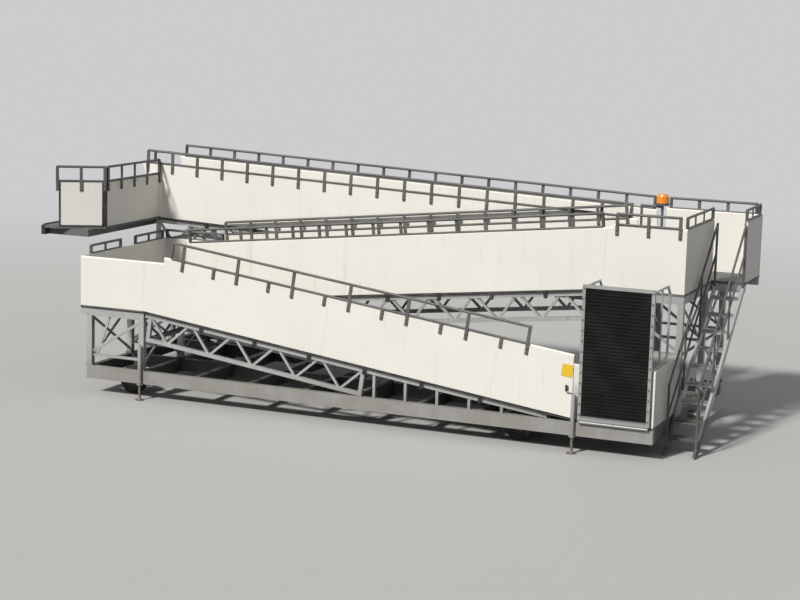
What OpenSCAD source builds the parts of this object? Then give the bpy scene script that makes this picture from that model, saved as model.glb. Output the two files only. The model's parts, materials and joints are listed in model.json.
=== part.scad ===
// Mobile step-free aircraft boarding ramp: three side-by-side sloping flights on a
// wheeled chassis, two turning landings, a levelling top platform and a service stair.
// X runs along the chassis, Y across it from the entry side, Z up from the ground.

/* [Flights] */
// Outside width of one flight
lane_w = 1300; // [1100:10:1500]
// Gap between neighbouring flights
lane_gap = 50; // [45:1:90]
// Thickness of a deck plate with its folded edge
deck_t = 40; // [30:1:60]
// Height of a flight's white side panel
panel_h = 880; // [760:10:960]
// Height of the first flight's panel on its inner side
inner_panel_h = 450; // [150:10:500]
// Thickness of a side panel
panel_t = 30; // [24:1:40]
// Depth of a side truss below its deck
truss_depth = 430; // [300:10:460]
// Side of a truss chord's square tube
chord = 60; // [50:1:70]
// Side of a truss diagonal's square tube
diagonal = 36; // [26:1:44]
// Length of one truss bay
bay_len = 680; // [560:10:720]

/* [Chassis] */
// Length of the chassis
chassis_len = 9150; // [9000:10:9400]
// Height of the chassis beams' underside above the ground
chassis_clear = 250; // [240:1:300]
// Depth of a chassis beam
beam_h = 200; // [160:5:240]
// Width of a chassis beam
beam_w = 90; // [70:1:110]
// Side of a tower post
post_w = 90; // [70:1:100]
// Side of a brace bar
brace = 40; // [30:1:50]

/* [Landings] */
// Deck height of the first landing
landing_one_z = 1400; // [1300:10:1480]
// Deck height of the second landing
landing_two_z = 2180; // [2050:10:2300]
// Deck height of the top platform as parked
platform_z = 2520; // [2400:10:2650]
// Length of the first landing along the chassis
landing_one_len = 1130; // [1050:10:1250]
// Length of the first landing's near panel, which laps onto the first flight
landing_panel_len = 1480; // [1350:10:1600]
// Length of the second landing along the chassis
landing_two_len = 1100; // [1000:10:1200]
// Height of the first landing's white panel
landing_panel_h = 750; // [700:10:860]
// Height of the second landing's white panel
landing_two_panel_h = 920; // [800:10:980]
// Height of the entry landing's end guard
entry_guard_h = 800; // [700:10:900]

/* [Handrails] */
// Height of a top rail above its deck
rail_h = 1100; // [1020:10:1150]
// Height of the first flight's top rail above its deck
near_rail_h = 1150; // [1020:10:1200]
// Bare length of the first flight's near panel beyond its handrail
near_rail_end = 880; // [300:10:1200]
// Height of the first landing's top rail above its deck
landing_rail_h = 900; // [900:10:1100]
// Diameter of a rail tube
rail_d = 40; // [34:1:46]
// Width of a rail post
rail_post_w = 50; // [42:1:60]
// Thickness of a rail post
rail_post_t = 16; // [10:1:18]
// Pitch of the rail posts
rail_pitch = 460; // [400:10:520]
// Overlap of a rail post on its panel
post_lap = 135; // [100:5:240]

/* [Top platform] */
// Length of the top platform at the aircraft's side
platform_len = 880; // [800:10:960]
// Reach of the platform in front of the third flight
platform_reach = 2140; // [1900:10:2300]
// Set-back of the platform's front edge at its inner corner
platform_skew = 410; // [300:10:500]
// Thickness of the rubber bumper
bumper_t = 70; // [50:1:90]
// Height of the platform's front panel
platform_panel_h = 700; // [640:10:800]

/* [Running gear] */
// Tyre radius
wheel_r = 220; // [210:1:235]
// Tyre width
tyre_w = 140; // [120:1:150]
// Rim radius
rim_r = 105; // [95:1:115]
// Spindle radius
spindle_r = 22; // [18:0.5:26]
// Side of an axle beam's square tube
axle_h = 80; // [60:1:85]
// Kingpin radius
kingpin_r = 16; // [12:0.5:20]
// Length of a steering arm
steer_arm = 170; // [150:5:200]

/* [Jacks] */
// Outer radius of a jack sleeve
sleeve_r = 32; // [28:0.5:36]
// Radius of a jack leg
leg_r = 20; // [16:0.5:24]
// Radius of a jack foot
foot_r = 70; // [55:1:80]
// Length of a jack sleeve
sleeve_len = 620; // [500:10:700]

/* [Entry flap] */
// Length of the entry flap
flap_len = 1960; // [1800:10:2050]
// Depth of the flap's frame
flap_t = 50; // [40:1:60]
// Depth of the flap's side hoops
hoop_d = 820; // [700:10:900]
// Number of ribs across the flap's face
flap_ribs = 38; // [20:1:44]

/* [Service stair] */
// Width of the service stair
stair_w = 470; // [420:5:520]
// Number of treads
tread_count = 9; // [8:1:10]
// Depth of a tread
tread_run = 230; // [200:5:250]
// Height of the stair's handrails above the stringers
stair_rail_h = 900; // [850:10:1000]
// Clearance of the stair's feet above the ground
stair_clear = 30; // [20:1:60]

/* [Hidden] */

// Curve quality of round tubes
$fn = 32;
// Radial clearance of a running shaft
fit = 0.05;
// Gap between sliding round surfaces
slip = 0.3;
// Gap between a moving piece and its neighbours
run_gap = 12;
// Overlap of welded bars that cross side by side
weld_lap = 3;

// Lanes from the entry side to the far side
lane_pitch = lane_w + lane_gap;
lane_y = [0, lane_pitch, 2 * lane_pitch];
back_y = 2 * lane_pitch + lane_w;
mid_y = back_y / 2;

// Chassis levels and the places along it
chassis_left = -50;
chassis_right = chassis_left + chassis_len;
chassis_top = chassis_clear + beam_h;
entry_z = chassis_top + deck_t;
landing_one_left = -160;
landing_one_right = landing_one_left + landing_one_len;
panel_step = landing_one_left + landing_panel_len;
landing_two_left = chassis_right - landing_two_len;
landing_two_right = chassis_right;

// Top platform's outline in plan
platform_right = -300;
platform_left = platform_right - platform_len;
platform_front = lane_y[2] - platform_reach;
neck_in = 150;
nose_len = 210;
platform_neck = platform_right - neck_in;
platform_nose = platform_left + nose_len;
platform_step = lane_y[2] - 30;
whole_left = platform_left - bumper_t;
stair_gap = 30;
stair_left = chassis_right + stair_gap;
stair_right = stair_left + stair_w;
mid_x = (whole_left + stair_right) / 2;

// Flights: left end, left height, right end, right height
flight_one = [landing_one_right, landing_one_z, landing_two_left, entry_z];
flight_two = [landing_one_right, landing_one_z, landing_two_left, landing_two_z];
plate_t = 6;
plate_gap = 8;
hinge_gap = 40;
flight_three = [
    platform_neck + hinge_gap, platform_z - plate_t - plate_gap,
    landing_two_left, landing_two_z
];
function run(f) = f[2] - f[0];
function drop(f) = f[1] - f[3];
function pitch(f) = atan2(drop(f), run(f));
function slope_len(f) = sqrt(run(f) * run(f) + drop(f) * drop(f));
function deck_height(f, x) = f[1] - drop(f) * (x - f[0]) / run(f);
// World X and Z of a place in a flight's own frame, and the place along it above a world X
function world(f, lx, lz) = [
    f[0] + lx * cos(pitch(f)) + lz * sin(pitch(f)),
    f[1] - lx * sin(pitch(f)) + lz * cos(pitch(f))
];
function along(f, x) = (x - f[0]) / cos(pitch(f));

white = [0.93, 0.92, 0.89];
steel = [0.62, 0.63, 0.64];
dark_steel = [0.25, 0.26, 0.28];
rubber_black = [0.08, 0.08, 0.08];
deck_grey = [0.34, 0.35, 0.36];
amber = [0.95, 0.45, 0.05];
chrome = [0.75, 0.76, 0.78];

// Everything is drawn from the chassis' left front corner and centred here
module centred() {
    translate([-mid_x, -mid_y, 0]) children();
}

// A block between two corners
module block(low, high) {
    translate(low) cube(high - low);
}

// A round bar between two points
module round_bar(p, q, d) {
    way = q - p;
    flat = sqrt(way[0] * way[0] + way[1] * way[1]);
    translate(p)
        rotate([0, atan2(flat, way[2]), atan2(way[1], way[0])])
            cylinder(h = norm(way), d = d);
}

// A tube through a list of points, with a ball joint at each corner
ball = 1.1;
module bent_tube(points, d) {
    for (i = [0 : len(points) - 2]) round_bar(points[i], points[i + 1], d);
    for (i = [1 : len(points) - 2]) translate(points[i]) sphere(d = d * ball);
}

// A square bar of side s between two points of the XZ plane at depth y to y + t
module square_bar(p, q, y, s, t) {
    way = q - p;
    translate([p[0], y, p[1]])
        rotate([0, -atan2(way[1], way[0]), 0])
            translate([0, 0, -s / 2])
                cube([norm(way), t, s]);
}

// A square bar of side s between two points of the YZ plane at x to x + t
module cross_bar(p, q, x, s, t) {
    way = q - p;
    translate([x, p[0], p[1]])
        rotate([atan2(way[1], way[0]), 0, 0])
            translate([0, 0, -s / 2])
                cube([t, norm(way), s]);
}

// Places a flight's own frame: X down its deck from the left end, Z square to the deck
module on_flight(f, y) {
    translate([f[0], y, f[1]]) rotate([0, pitch(f), 0]) children();
}

// One side truss in a flight's frame, between two places along it
module side_truss(from, to, y) {
    bays = max(1, round((to - from) / bay_len));
    step = (to - from) / bays;
    top = -deck_t - chord / 2;
    low = -deck_t - truss_depth + chord / 2;
    for (i = [0 : bays - 1]) {
        a = from + i * step;
        inset = (chord - diagonal) / 2;
        square_bar([a + chord / 2, top], [a + step / 2, low], y + inset, diagonal, diagonal);
        square_bar([a + step / 2, low], [a + step - chord / 2, top], y + inset, diagonal, diagonal);
    }
    block([from, y, low - chord / 2], [to, y + chord, low + chord / 2]);
    for (x = [from, to - chord]) block([x, y, low], [x + chord, y + chord, top]);
}

// Depth places of the two side trusses and the spread of the cross members
truss_in = panel_t;
far_truss = lane_w - panel_t - chord;

// The folded sheet that closes the deck's edge outside a top chord
fold_t = 8;
fold_in = 60;
module deck_fold(first, last) {
    block([first, truss_in - fold_t, -deck_t - chord], [last, truss_in + weld_lap, -deck_t - weld_lap]);
    block([first, truss_in - fold_t, -deck_t - chord], [last, truss_in - slip, -slip]);
}

// The truss-sided carrier of one flight; the trusses run between two places
module flight_carrier(f, from, to, first, last) {
    members = max(1, round((last - first) / (2 * rail_pitch)));
    for (y = [truss_in, far_truss]) {
        block([first, y, -deck_t - chord], [last, y + chord, -deck_t]);
        side_truss(from, to, y);
    }
    for (side = [0, 1]) {
        translate([0, side * lane_w, 0]) mirror([0, side, 0]) deck_fold(first + fold_in, last - fold_in);
    }
    for (i = [0 : members]) {
        x = first + chord + i * (last - first - 3 * chord) / members;
        block([x, truss_in, -deck_t - chord],
              [x + chord, far_truss + chord, -deck_t - chord / 3]);
    }
    for (x = [from, to - chord]) {
        block([x, truss_in, -deck_t - truss_depth],
              [x + chord, far_truss + chord, chord - deck_t - truss_depth]);
    }
    // panel brackets on the outer faces
    for (i = [1 : members - 1], side = [0, 1]) {
        x = first + chord + i * (last - first - 3 * chord) / members;
        translate([0, side * lane_w, 0]) mirror([0, side, 0]) panel_bracket(x);
    }
}

// The bracket that holds a panel's foot to the top chord
bracket_w = 45;
bracket_t = 18;
bracket_low = 22;
bracket_gap = 10;
module panel_bracket(x) {
    block([x, -bracket_t, -deck_t - chord - bracket_low],
          [x + bracket_w, truss_in + weld_lap, -deck_t - weld_lap]);
    block([x, -bracket_t, -deck_t - chord - bracket_low], [x + bracket_w, truss_in - slip, -bracket_gap]);
}

// The walking deck of one flight with cross cleats
cleat_pitch = 300;
cleat_w = 30;
cleat_h = 8;
cleat_in = 4 * panel_t;
module flight_deck(f, gap_0, gap_1) {
    length = slope_len(f);
    wedge = deck_t * abs(tan(pitch(f)));
    count = floor((length - cleat_pitch) / cleat_pitch);
    block([wedge + gap_0, panel_t, -deck_t], [length - wedge - gap_1, lane_w - panel_t, 0]);
    for (i = [1 : count]) {
        block([i * cleat_pitch, cleat_in, 0],
              [i * cleat_pitch + cleat_w, lane_w - cleat_in, cleat_h]);
    }
}

// A white side panel with seams and a folded top edge
seam_pitch = 2700;
seam_w = 8;
seam_depth = 3;
module side_panel(x0, x1, lean_0, lean_1, height) {
    difference() {
        translate([0, panel_t, 0])
            rotate([90, 0, 0])
                linear_extrude(panel_t)
                    polygon([[x0, 0], [x1, 0], [x1 + lean_1, height], [x0 + lean_0, height]]);
        for (x = [x0 + seam_pitch : seam_pitch : x1 - seam_pitch / 3]) {
            block([x, -1, -1], [x + seam_w, seam_depth, height + 1]);
        }
    }
}

// Both panels of a flight, the far one mirrored
module flight_panels(f, from, to, lean_0, lean_1) {
    side_panel(from, to, lean_0, lean_1, panel_h);
    translate([0, lane_w, 0]) mirror([0, 1, 0]) side_panel(from, to, lean_0, lean_1, panel_h);
}

// A handrail over a panel: two tubes, their posts and closed ends. The posts start where the
// bare stretch ends, and of each group only the first reaches the top tube.
rail_in = rail_post_t / 2;
low_rail_up = 25;
low_rail_d = 0.85 * rail_d;
short_shift = 70;
module handrail(x0, x1, panel_top, top, group = 1, bare = 0) {
    low = panel_top + low_rail_up;
    first = x0 + bare + rail_d / 2;
    last = x1 - rail_d / 2;
    bays = group * max(1, round((last - first) / (group * rail_pitch)));
    step = (last - first) / bays;
    round_bar([x0 + rail_d / 2, rail_in, low], [x1 - rail_d / 2, rail_in, low], low_rail_d);
    bent_tube([
        [x0 + rail_d / 2, rail_in, low],
        [x0 + rail_d / 2, rail_in, top],
        [x1 - rail_d / 2, rail_in, top],
        [x1 - rail_d / 2, rail_in, low]
    ], rail_d);
    for (i = [0 : bays]) {
        short = i % group > 0;
        x = first + i * step + (short ? short_shift : 0) - rail_post_w / 2;
        block([x, -rail_post_t, panel_top - post_lap], [x + rail_post_w, 0, short ? low : top]);
    }
}

// Where the first flight's chord and truss come down onto the chassis
chord_drop = deck_t + chord;
truss_drop = deck_t + truss_depth;
function reach_above(f, depth) =
    (f[1] - depth * cos(pitch(f)) - chassis_top) / sin(pitch(f));
one_chord_end = reach_above(flight_one, chord_drop);
one_truss_end = reach_above(flight_one, truss_drop);
start_in = 20;
end_in = 60;
flap_clear = 90;
near_rail_bare = 200;
stub_pitch = 500;
stub_in = 120;
stub_first = world(flight_one, one_truss_end, 0)[0] + stub_in;
stub_last = world(flight_one, one_chord_end, 0)[0] - 4 * chord;

module flight_one_truss() {
    color(steel) centred() {
        on_flight(flight_one, lane_y[0])
            flight_carrier(flight_one, start_in + chord, one_truss_end, start_in, one_chord_end);
        // stub posts from the chassis to the chord beyond the truss
        for (x = [stub_first : stub_pitch : stub_last], y = [truss_in, far_truss]) {
            stub_top = deck_height(flight_one, x) - chord_drop + chord / 4;
            block([x, y + weld_lap, chassis_top], [x + brace, y + chord - weld_lap, stub_top]);
        }
    }
}

module flight_one_deck() {
    color(deck_grey) centred() on_flight(flight_one, lane_y[0]) flight_deck(flight_one, slip, slip);
}

// The near panel starts at the step in the guards, the low inner one at the flight's head
module flight_one_panels() {
    near = along(flight_one, panel_step) + slip;
    length = slope_len(flight_one) - flap_clear;
    lean = -tan(pitch(flight_one));
    color(white) centred() on_flight(flight_one, lane_y[0]) {
        side_panel(near, length, lean * panel_h, lean * panel_h, panel_h);
        translate([0, lane_w, 0]) mirror([0, 1, 0])
            side_panel(slip, length, lean * inner_panel_h, lean * inner_panel_h, inner_panel_h);
    }
}

module flight_one_rails() {
    color(dark_steel) centred() on_flight(flight_one, lane_y[0])
        handrail(along(flight_one, panel_step), slope_len(flight_one) - near_rail_end,
                 panel_h, near_rail_h, 2, near_rail_bare);
}

module flight_two_truss() {
    length = slope_len(flight_two);
    color(steel) centred() on_flight(flight_two, lane_y[1])
        flight_carrier(flight_two, start_in, length - end_in, start_in, length - end_in);
}

module flight_two_deck() {
    color(deck_grey) centred() on_flight(flight_two, lane_y[1]) flight_deck(flight_two, slip, slip);
}

module flight_two_panels() {
    upright = -panel_h * tan(pitch(flight_two));
    color(white) centred() on_flight(flight_two, lane_y[1])
        flight_panels(flight_two, slip, slope_len(flight_two) - slip, upright, upright);
}

module flight_two_rails() {
    color(dark_steel) centred() on_flight(flight_two, lane_y[1]) for (side = [0, 1]) {
        translate([0, side * lane_w, 0]) mirror([0, side, 0])
            handrail_inside(end_in + chord, slope_len(flight_two) - rail_d, panel_h, rail_h);
    }
}

// Third flight: hinged at the second landing, held by two lift masts near its left end
three_len = slope_len(flight_three);
hinge_r = 25;
hinge_pin_r = 12;
hinge_drop = deck_t + chord / 2;
hinge_in = 40;
right_hinge = world(flight_three, three_len - hinge_in, -hinge_drop);
left_hinge = world(flight_three, 0, -hinge_drop);
lug_t = 12;
lug_gap = 2;

// A hinge barrel across the end of a chord
module barrel(lx, y) {
    translate([lx, y, -hinge_drop]) rotate([-90, 0, 0]) cylinder(h = chord, r = hinge_r);
}
module barrel_bore(lx, y) {
    translate([lx, y - 1, -hinge_drop])
        rotate([-90, 0, 0])
            cylinder(h = chord + 2, r = hinge_pin_r + fit);
}

// Two hinge lugs with their pin: they reach from a face at x0 to the pin at hx
module hinge_lugs(x0, hx, hz, y) {
    low = min(x0, hx);
    high = max(x0, hx);
    for (yy = [y - lug_gap - lug_t, y + chord + lug_gap]) {
        block([low, yy, hz - hinge_r], [high, yy + lug_t, hz + hinge_r]);
        translate([hx, yy, hz]) rotate([-90, 0, 0]) cylinder(h = lug_t, r = hinge_r);
    }
    translate([hx, y - lug_gap - lug_t, hz])
        rotate([-90, 0, 0])
            cylinder(h = chord + 2 * (lug_gap + lug_t), r = hinge_pin_r);
}

// Lift masts: their place, their shaft and the slotted lugs that ride on it
mast_x = 600;
mast_r = 45;
mast_h = 1000;
mast_collar_h = 60;
mast_collar = 8;
mast_foot_in = 3;
ram_r = 30;
ram_hold = 290;
ram_eye = 4;
shaft_r = 20;
shaft_slack = 1.5;
shaft_slide = 16;
lift_lug_w = 60;
lift_lug_in = 130;
lift_drop = 70;
lift_at = along(flight_three, mast_x) + (truss_drop + lift_drop) * tan(pitch(flight_three));
lift_point = world(flight_three, lift_at, -truss_drop - lift_drop);
mast_y = [lane_y[2] + truss_in + chord / 2, lane_y[2] + far_truss + chord / 2];

module lift_lug(y) {
    difference() {
        block([lift_at - lift_lug_w, y, -truss_drop - lift_drop - lift_lug_w / 2 - shaft_r],
              [lift_at + lift_lug_w, y + lug_t, chord / 2 - truss_drop]);
        for (side = [-1, 1]) {
            translate([lift_at + side * shaft_slide, y - 1, -truss_drop - lift_drop])
                rotate([-90, 0, 0])
                    cylinder(h = lug_t + 2, r = shaft_r + shaft_slack);
        }
        block([lift_at - shaft_slide, y - 1, -truss_drop - lift_drop - shaft_r - shaft_slack],
              [lift_at + shaft_slide, y + lug_t + 1, -truss_drop - lift_drop + shaft_r + shaft_slack]);
    }
}

module flight_three_truss() {
    last = three_len - hinge_in;
    color(steel) centred() on_flight(flight_three, lane_y[2]) {
        difference() {
            union() {
                flight_carrier(flight_three, start_in, last - end_in, 0, last);
                for (x = [0, last], y = [truss_in, far_truss]) barrel(x, y);
                block([lift_at - lift_lug_w, truss_in, -truss_drop],
                      [lift_at + lift_lug_w, far_truss + chord, chord / 2 - truss_drop]);
            }
            for (x = [0, last], y = [truss_in, far_truss]) barrel_bore(x, y);
        }
        for (y = [lift_lug_in, lane_w - lift_lug_in - lug_t]) lift_lug(y);
    }
}

module flight_three_deck() {
    color(deck_grey) centred() on_flight(flight_three, lane_y[2])
        flight_deck(flight_three, slip, run_gap);
}

// The left ends of the panels lean out over the top platform
three_lean_left = -264;
three_lean_right = -100;
module flight_three_panels() {
    color(white) centred() on_flight(flight_three, lane_y[2])
        flight_panels(flight_three, 0, three_len - run_gap, three_lean_left, three_lean_right);
}

module flight_three_rails() {
    color(dark_steel) centred() on_flight(flight_three, lane_y[2]) for (side = [0, 1]) {
        translate([0, side * lane_w, 0]) mirror([0, side, 0])
            handrail(three_lean_left + 2 * rail_d, three_len + three_lean_right - rail_d, panel_h, rail_h);
    }
}

// Chassis: four long beams with ties between them
inner_y = [lane_w - beam_w, back_y - lane_w];
beam_y = [0, inner_y[0], inner_y[1], back_y - beam_w];
tower_x = [chassis_left, landing_one_right - post_w];
axle_x = [560, 7000];
arch_in = 550;
arch_x = [axle_x[1] - arch_in, axle_x[1] + arch_in];
cross_bays = 6;
cross_x = [
    tower_x[0],
    for (i = [0 : cross_bays]) tower_x[1] + i * (arch_x[0] - tower_x[1]) / cross_bays,
    arch_x[1], landing_two_left, chassis_right - beam_w
];
tow_r = 20;
tow_ear_r = 50;
tow_ear_t = 20;
tow_gap = 60;
tow_out = 70;
tow_x = chassis_right + tow_out - tow_r;
hinge_bar_r = 10;
flap_barrel_r = 20;
flap_y = -35;
flap_z = entry_z - 25;
flap_left = landing_two_left + 15;
flap_right = chassis_right - 45;
lug_inset = 20;

module chassis_frame() {
    color(steel) centred() {
        for (y = beam_y) {
            block([chassis_left, y, chassis_clear], [chassis_right, y + beam_w, chassis_top]);
        }
        flap_hinge();
    }
}

// The ties that join the long beams, and the tow coupling on the last of them
module chassis_ties() {
    color(steel) centred() difference() {
        union() {
            for (x = cross_x, i = [0 : len(beam_y) - 2]) {
                block([x, beam_y[i] + beam_w, chassis_clear], [x + beam_w, beam_y[i + 1], chassis_top]);
            }
            tow_ears();
        }
        translate([tow_x, mid_y, chassis_clear - tow_r]) cylinder(h = beam_h + 2 * tow_r, r = tow_r);
    }
}

// The two ears of the tow coupling at the right end
module tow_ears() {
    for (z = [chassis_clear + tow_ear_t, chassis_clear + 2 * tow_ear_t + tow_gap]) {
        block([chassis_right - 1, mid_y - tow_ear_r, z], [tow_x, mid_y + tow_ear_r, z + tow_ear_t]);
        translate([tow_x, mid_y, z]) cylinder(h = tow_ear_t, r = tow_ear_r);
    }
}

// Lugs on the chassis' front face with the flap's hinge bar through them
module flap_hinge() {
    first = flap_left + lug_inset;
    span = flap_right - lug_inset - first;
    for (x = [first, first + (span - lug_t) / 2, first + span - lug_t]) {
        block([x, flap_y, chassis_top - flap_barrel_r], [x + lug_t, 0, flap_z]);
        translate([x, flap_y, flap_z]) rotate([0, 90, 0]) cylinder(h = lug_t, r = flap_barrel_r);
    }
    translate([first, flap_y, flap_z]) rotate([0, 90, 0]) cylinder(h = span, r = hinge_bar_r);
}

// Wheels stand between the outer and the inner long beams
wheel_in = 420;
wheel_y = [wheel_in, back_y - wheel_in];
hub_gap = 4;
nut_t = 14;
nut_r = 34;
hub_r = 44;
beam_z = chassis_clear - axle_h;

// A spindle pointing out to the tyre's outer side, from the hub's inner face
module spindle(side) {
    out = side * (tyre_w + nut_t + 2 * hub_gap);
    rotate([side > 0 ? -90 : 90, 0, 0]) {
        cylinder(h = abs(out), r = spindle_r);
        translate([0, 0, tyre_w + hub_gap]) cylinder(h = nut_t, r = nut_r);
    }
}

// The fixed axle: a beam under the chassis with a spindle at each end
module axle_fixed() {
    reach = wheel_in + tyre_w / 2 + hub_gap;
    color(dark_steel) centred() {
        block([axle_x[0] - axle_h / 2, reach, beam_z],
              [axle_x[0] + axle_h / 2, back_y - reach, chassis_clear]);
        translate([axle_x[0], reach - hub_gap, wheel_r]) spindle(-1);
        translate([axle_x[0], back_y - reach + hub_gap, wheel_r]) spindle(1);
        for (y = [reach - hub_gap, back_y - reach]) {
            translate([axle_x[0], y, wheel_r]) rotate([-90, 0, 0]) cylinder(h = hub_gap, r = spindle_r);
        }
    }
}

// Steered axle: a beam with a fork and a kingpin at each end
king_in = 585;
king_y = [king_in, back_y - king_in];
king_boss_r = 34;
king_boss_h = 96;
fork_t = 14;
fork_gap = 2;
king_low = wheel_r - king_boss_h / 2;
fork_out = 90;

module king_fork(y, side) {
    low = king_low - fork_gap - fork_t;
    high = king_low + king_boss_h + fork_gap;
    translate([axle_x[1], y, 0]) mirror([0, side < 0 ? 1 : 0, 0]) {
        for (z = [low, high]) {
            translate([0, 0, z]) cylinder(h = fork_t, r = king_boss_r);
            block([-king_boss_r, 0, z], [king_boss_r, fork_out, z + fork_t]);
        }
        block([-king_boss_r, fork_out - fork_t, low], [king_boss_r, fork_out, high + fork_t]);
        translate([0, 0, low]) cylinder(h = high + fork_t - low, r = kingpin_r);
    }
}

module axle_steered() {
    reach = king_in + fork_out - fork_t;
    color(dark_steel) centred() {
        block([axle_x[1] - axle_h / 2, reach, beam_z],
              [axle_x[1] + axle_h / 2, back_y - reach, chassis_clear]);
        king_fork(king_y[0], 1);
        king_fork(king_y[1], -1);
    }
}

// A steering knuckle: kingpin boss, spindle to the wheel and an arm to the tie rod
arm_w = 44;
arm_t = 14;
arm_z = king_low + 8;
tie_pin_r = 9;
tie_pin_out = 4;
tie_eye_r = 20;
tie_eye_h = 26;

module knuckle(y, side) {
    inner = wheel_in + tyre_w / 2;
    wheel_side = side < 0 ? inner : back_y - inner;
    arm_x = axle_x[1] - steer_arm;
    color(dark_steel) centred() {
        difference() {
            union() {
                translate([axle_x[1], y, king_low]) cylinder(h = king_boss_h, r = king_boss_r);
                block([arm_x, y - arm_w / 2, arm_z], [axle_x[1], y + arm_w / 2, arm_z + arm_t]);
                translate([arm_x, y, arm_z]) cylinder(h = arm_t, r = arm_w / 2);
                translate([axle_x[1], y, wheel_r])
                    rotate([side > 0 ? -90 : 90, 0, 0])
                        cylinder(h = abs(wheel_side - y), r = spindle_r);
                translate([axle_x[1], wheel_side, wheel_r]) spindle(side);
            }
            translate([axle_x[1], y, king_low - 1]) cylinder(h = king_boss_h + 2, r = kingpin_r + fit);
        }
        translate([arm_x, y, arm_z])
            cylinder(h = arm_t + fork_gap + tie_eye_h + tie_pin_out, r = tie_pin_r);
    }
}

module knuckle_front() { knuckle(king_y[0], -1); }
module knuckle_back() { knuckle(king_y[1], 1); }

module tie_rod() {
    low = arm_z + arm_t + fork_gap;
    x = axle_x[1] - steer_arm;
    color(steel) centred() {
        difference() {
            union() {
                for (y = king_y) translate([x, y, low]) cylinder(h = tie_eye_h, r = tie_eye_r);
                translate([x, king_y[0] + tie_eye_r / 2, low + tie_eye_h / 2])
                    rotate([-90, 0, 0])
                        cylinder(h = king_y[1] - king_y[0] - tie_eye_r, d = tie_eye_h - 2);
            }
            for (y = king_y) translate([x, y, low - 1]) cylinder(h = tie_eye_h + 2, r = tie_pin_r + fit);
        }
    }
}

// Tyre and rim about the Y axis through the wheel's centre
shoulder = 22;
groove_w = 8;
groove_d = 7;
bead = 6;
bead_h = 20;
rim_wall = 5;
rim_disc = 14;
round_fn = 96;
module tyre_at(x, y) {
    half = tyre_w / 2;
    color(rubber_black) centred() translate([x, y, wheel_r]) rotate([90, 0, 0]) difference() {
        rotate_extrude($fn = round_fn) polygon([
            [rim_r, bead - half], [rim_r + bead_h, -half], [wheel_r - 2 * shoulder, -half],
            [wheel_r - shoulder / 3, -half + shoulder / 2], [wheel_r, -half + shoulder],
            [wheel_r, half - shoulder], [wheel_r - shoulder / 3, half - shoulder / 2],
            [wheel_r - 2 * shoulder, half], [rim_r + bead_h, half], [rim_r, half - bead]
        ]);
        for (i = [-1 : 1]) {
            translate([0, 0, (2 * i - 0.5) * groove_w])
                rotate_extrude($fn = round_fn)
                    translate([wheel_r - groove_d, 0])
                        square([groove_d + 1, groove_w]);
        }
    }
}

module rim_at(x, y, side) {
    half = tyre_w / 2 - bead;
    bore = spindle_r + fit;
    color(steel) centred() translate([x, y, wheel_r]) rotate([side * 90, 0, 0])
        rotate_extrude($fn = round_fn) polygon([
            [bore, -tyre_w / 2], [hub_r, -tyre_w / 2], [hub_r, rim_disc], [rim_r - 4 * rim_wall, 0],
            [rim_r - 2 * rim_wall, -half], [rim_r, -half], [rim_r, half], [rim_r - rim_wall, half],
            [rim_r - rim_disc, 2 * rim_disc - rim_wall], [hub_r, 2 * rim_disc],
            [hub_r, tyre_w / 2], [bore, tyre_w / 2]
        ]);
}

module tyre_1() { tyre_at(axle_x[0], wheel_y[0]); }
module tyre_2() { tyre_at(axle_x[0], wheel_y[1]); }
module tyre_3() { tyre_at(axle_x[1], wheel_y[0]); }
module tyre_4() { tyre_at(axle_x[1], wheel_y[1]); }
module rim_1() { rim_at(axle_x[0], wheel_y[0], 1); }
module rim_2() { rim_at(axle_x[0], wheel_y[1], -1); }
module rim_3() { rim_at(axle_x[1], wheel_y[0], 1); }
module rim_4() { rim_at(axle_x[1], wheel_y[1], -1); }

// Jacks on the outer faces of the long beams
jack_x = [tower_x[1] + post_w / 2, landing_two_left - end_in];
jack_out = sleeve_r + 2;
jack_y = [-jack_out, back_y + jack_out];
sleeve_low = chassis_clear - 20;
foot_t = 12;
crank_r = 8;
crank_up = 30;
crank_reach = 110;
jack_lug_in = 20;
leg_short = 240;

module jack_sleeves() {
    handle_z = sleeve_low + sleeve_len + crank_up;
    color(steel) centred() for (x = jack_x, i = [0, 1]) {
        difference() {
            union() {
                translate([x, jack_y[i], sleeve_low]) cylinder(h = sleeve_len, r = sleeve_r);
                near = i == 0 ? jack_y[0] : back_y;
                for (z = [chassis_clear + jack_lug_in, chassis_top - jack_lug_in - brace]) {
                    block([x - sleeve_r, near, z], [x + sleeve_r, near + jack_out, z + brace]);
                }
            }
            translate([x, jack_y[i], sleeve_low - 1]) cylinder(h = sleeve_len - foot_t, r = leg_r + slip);
        }
        // winding handle on the sleeve's cap
        translate([x, jack_y[i], sleeve_low + sleeve_len]) cylinder(h = crank_up, r = crank_r);
        round_bar([x, jack_y[i], handle_z], [x - crank_reach, jack_y[i], handle_z], 2 * crank_r);
    }
}

module jack_leg(i, j) {
    color(dark_steel) centred() translate([jack_x[i], jack_y[j], 0]) {
        cylinder(h = foot_t, r = foot_r);
        cylinder(h = foot_t * 3, r1 = foot_r / 2, r2 = leg_r);
        cylinder(h = sleeve_low + sleeve_len - leg_short, r = leg_r);
    }
}
module jack_leg_1() { jack_leg(0, 0); }
module jack_leg_2() { jack_leg(0, 1); }
module jack_leg_3() { jack_leg(1, 0); }
module jack_leg_4() { jack_leg(1, 1); }

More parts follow.
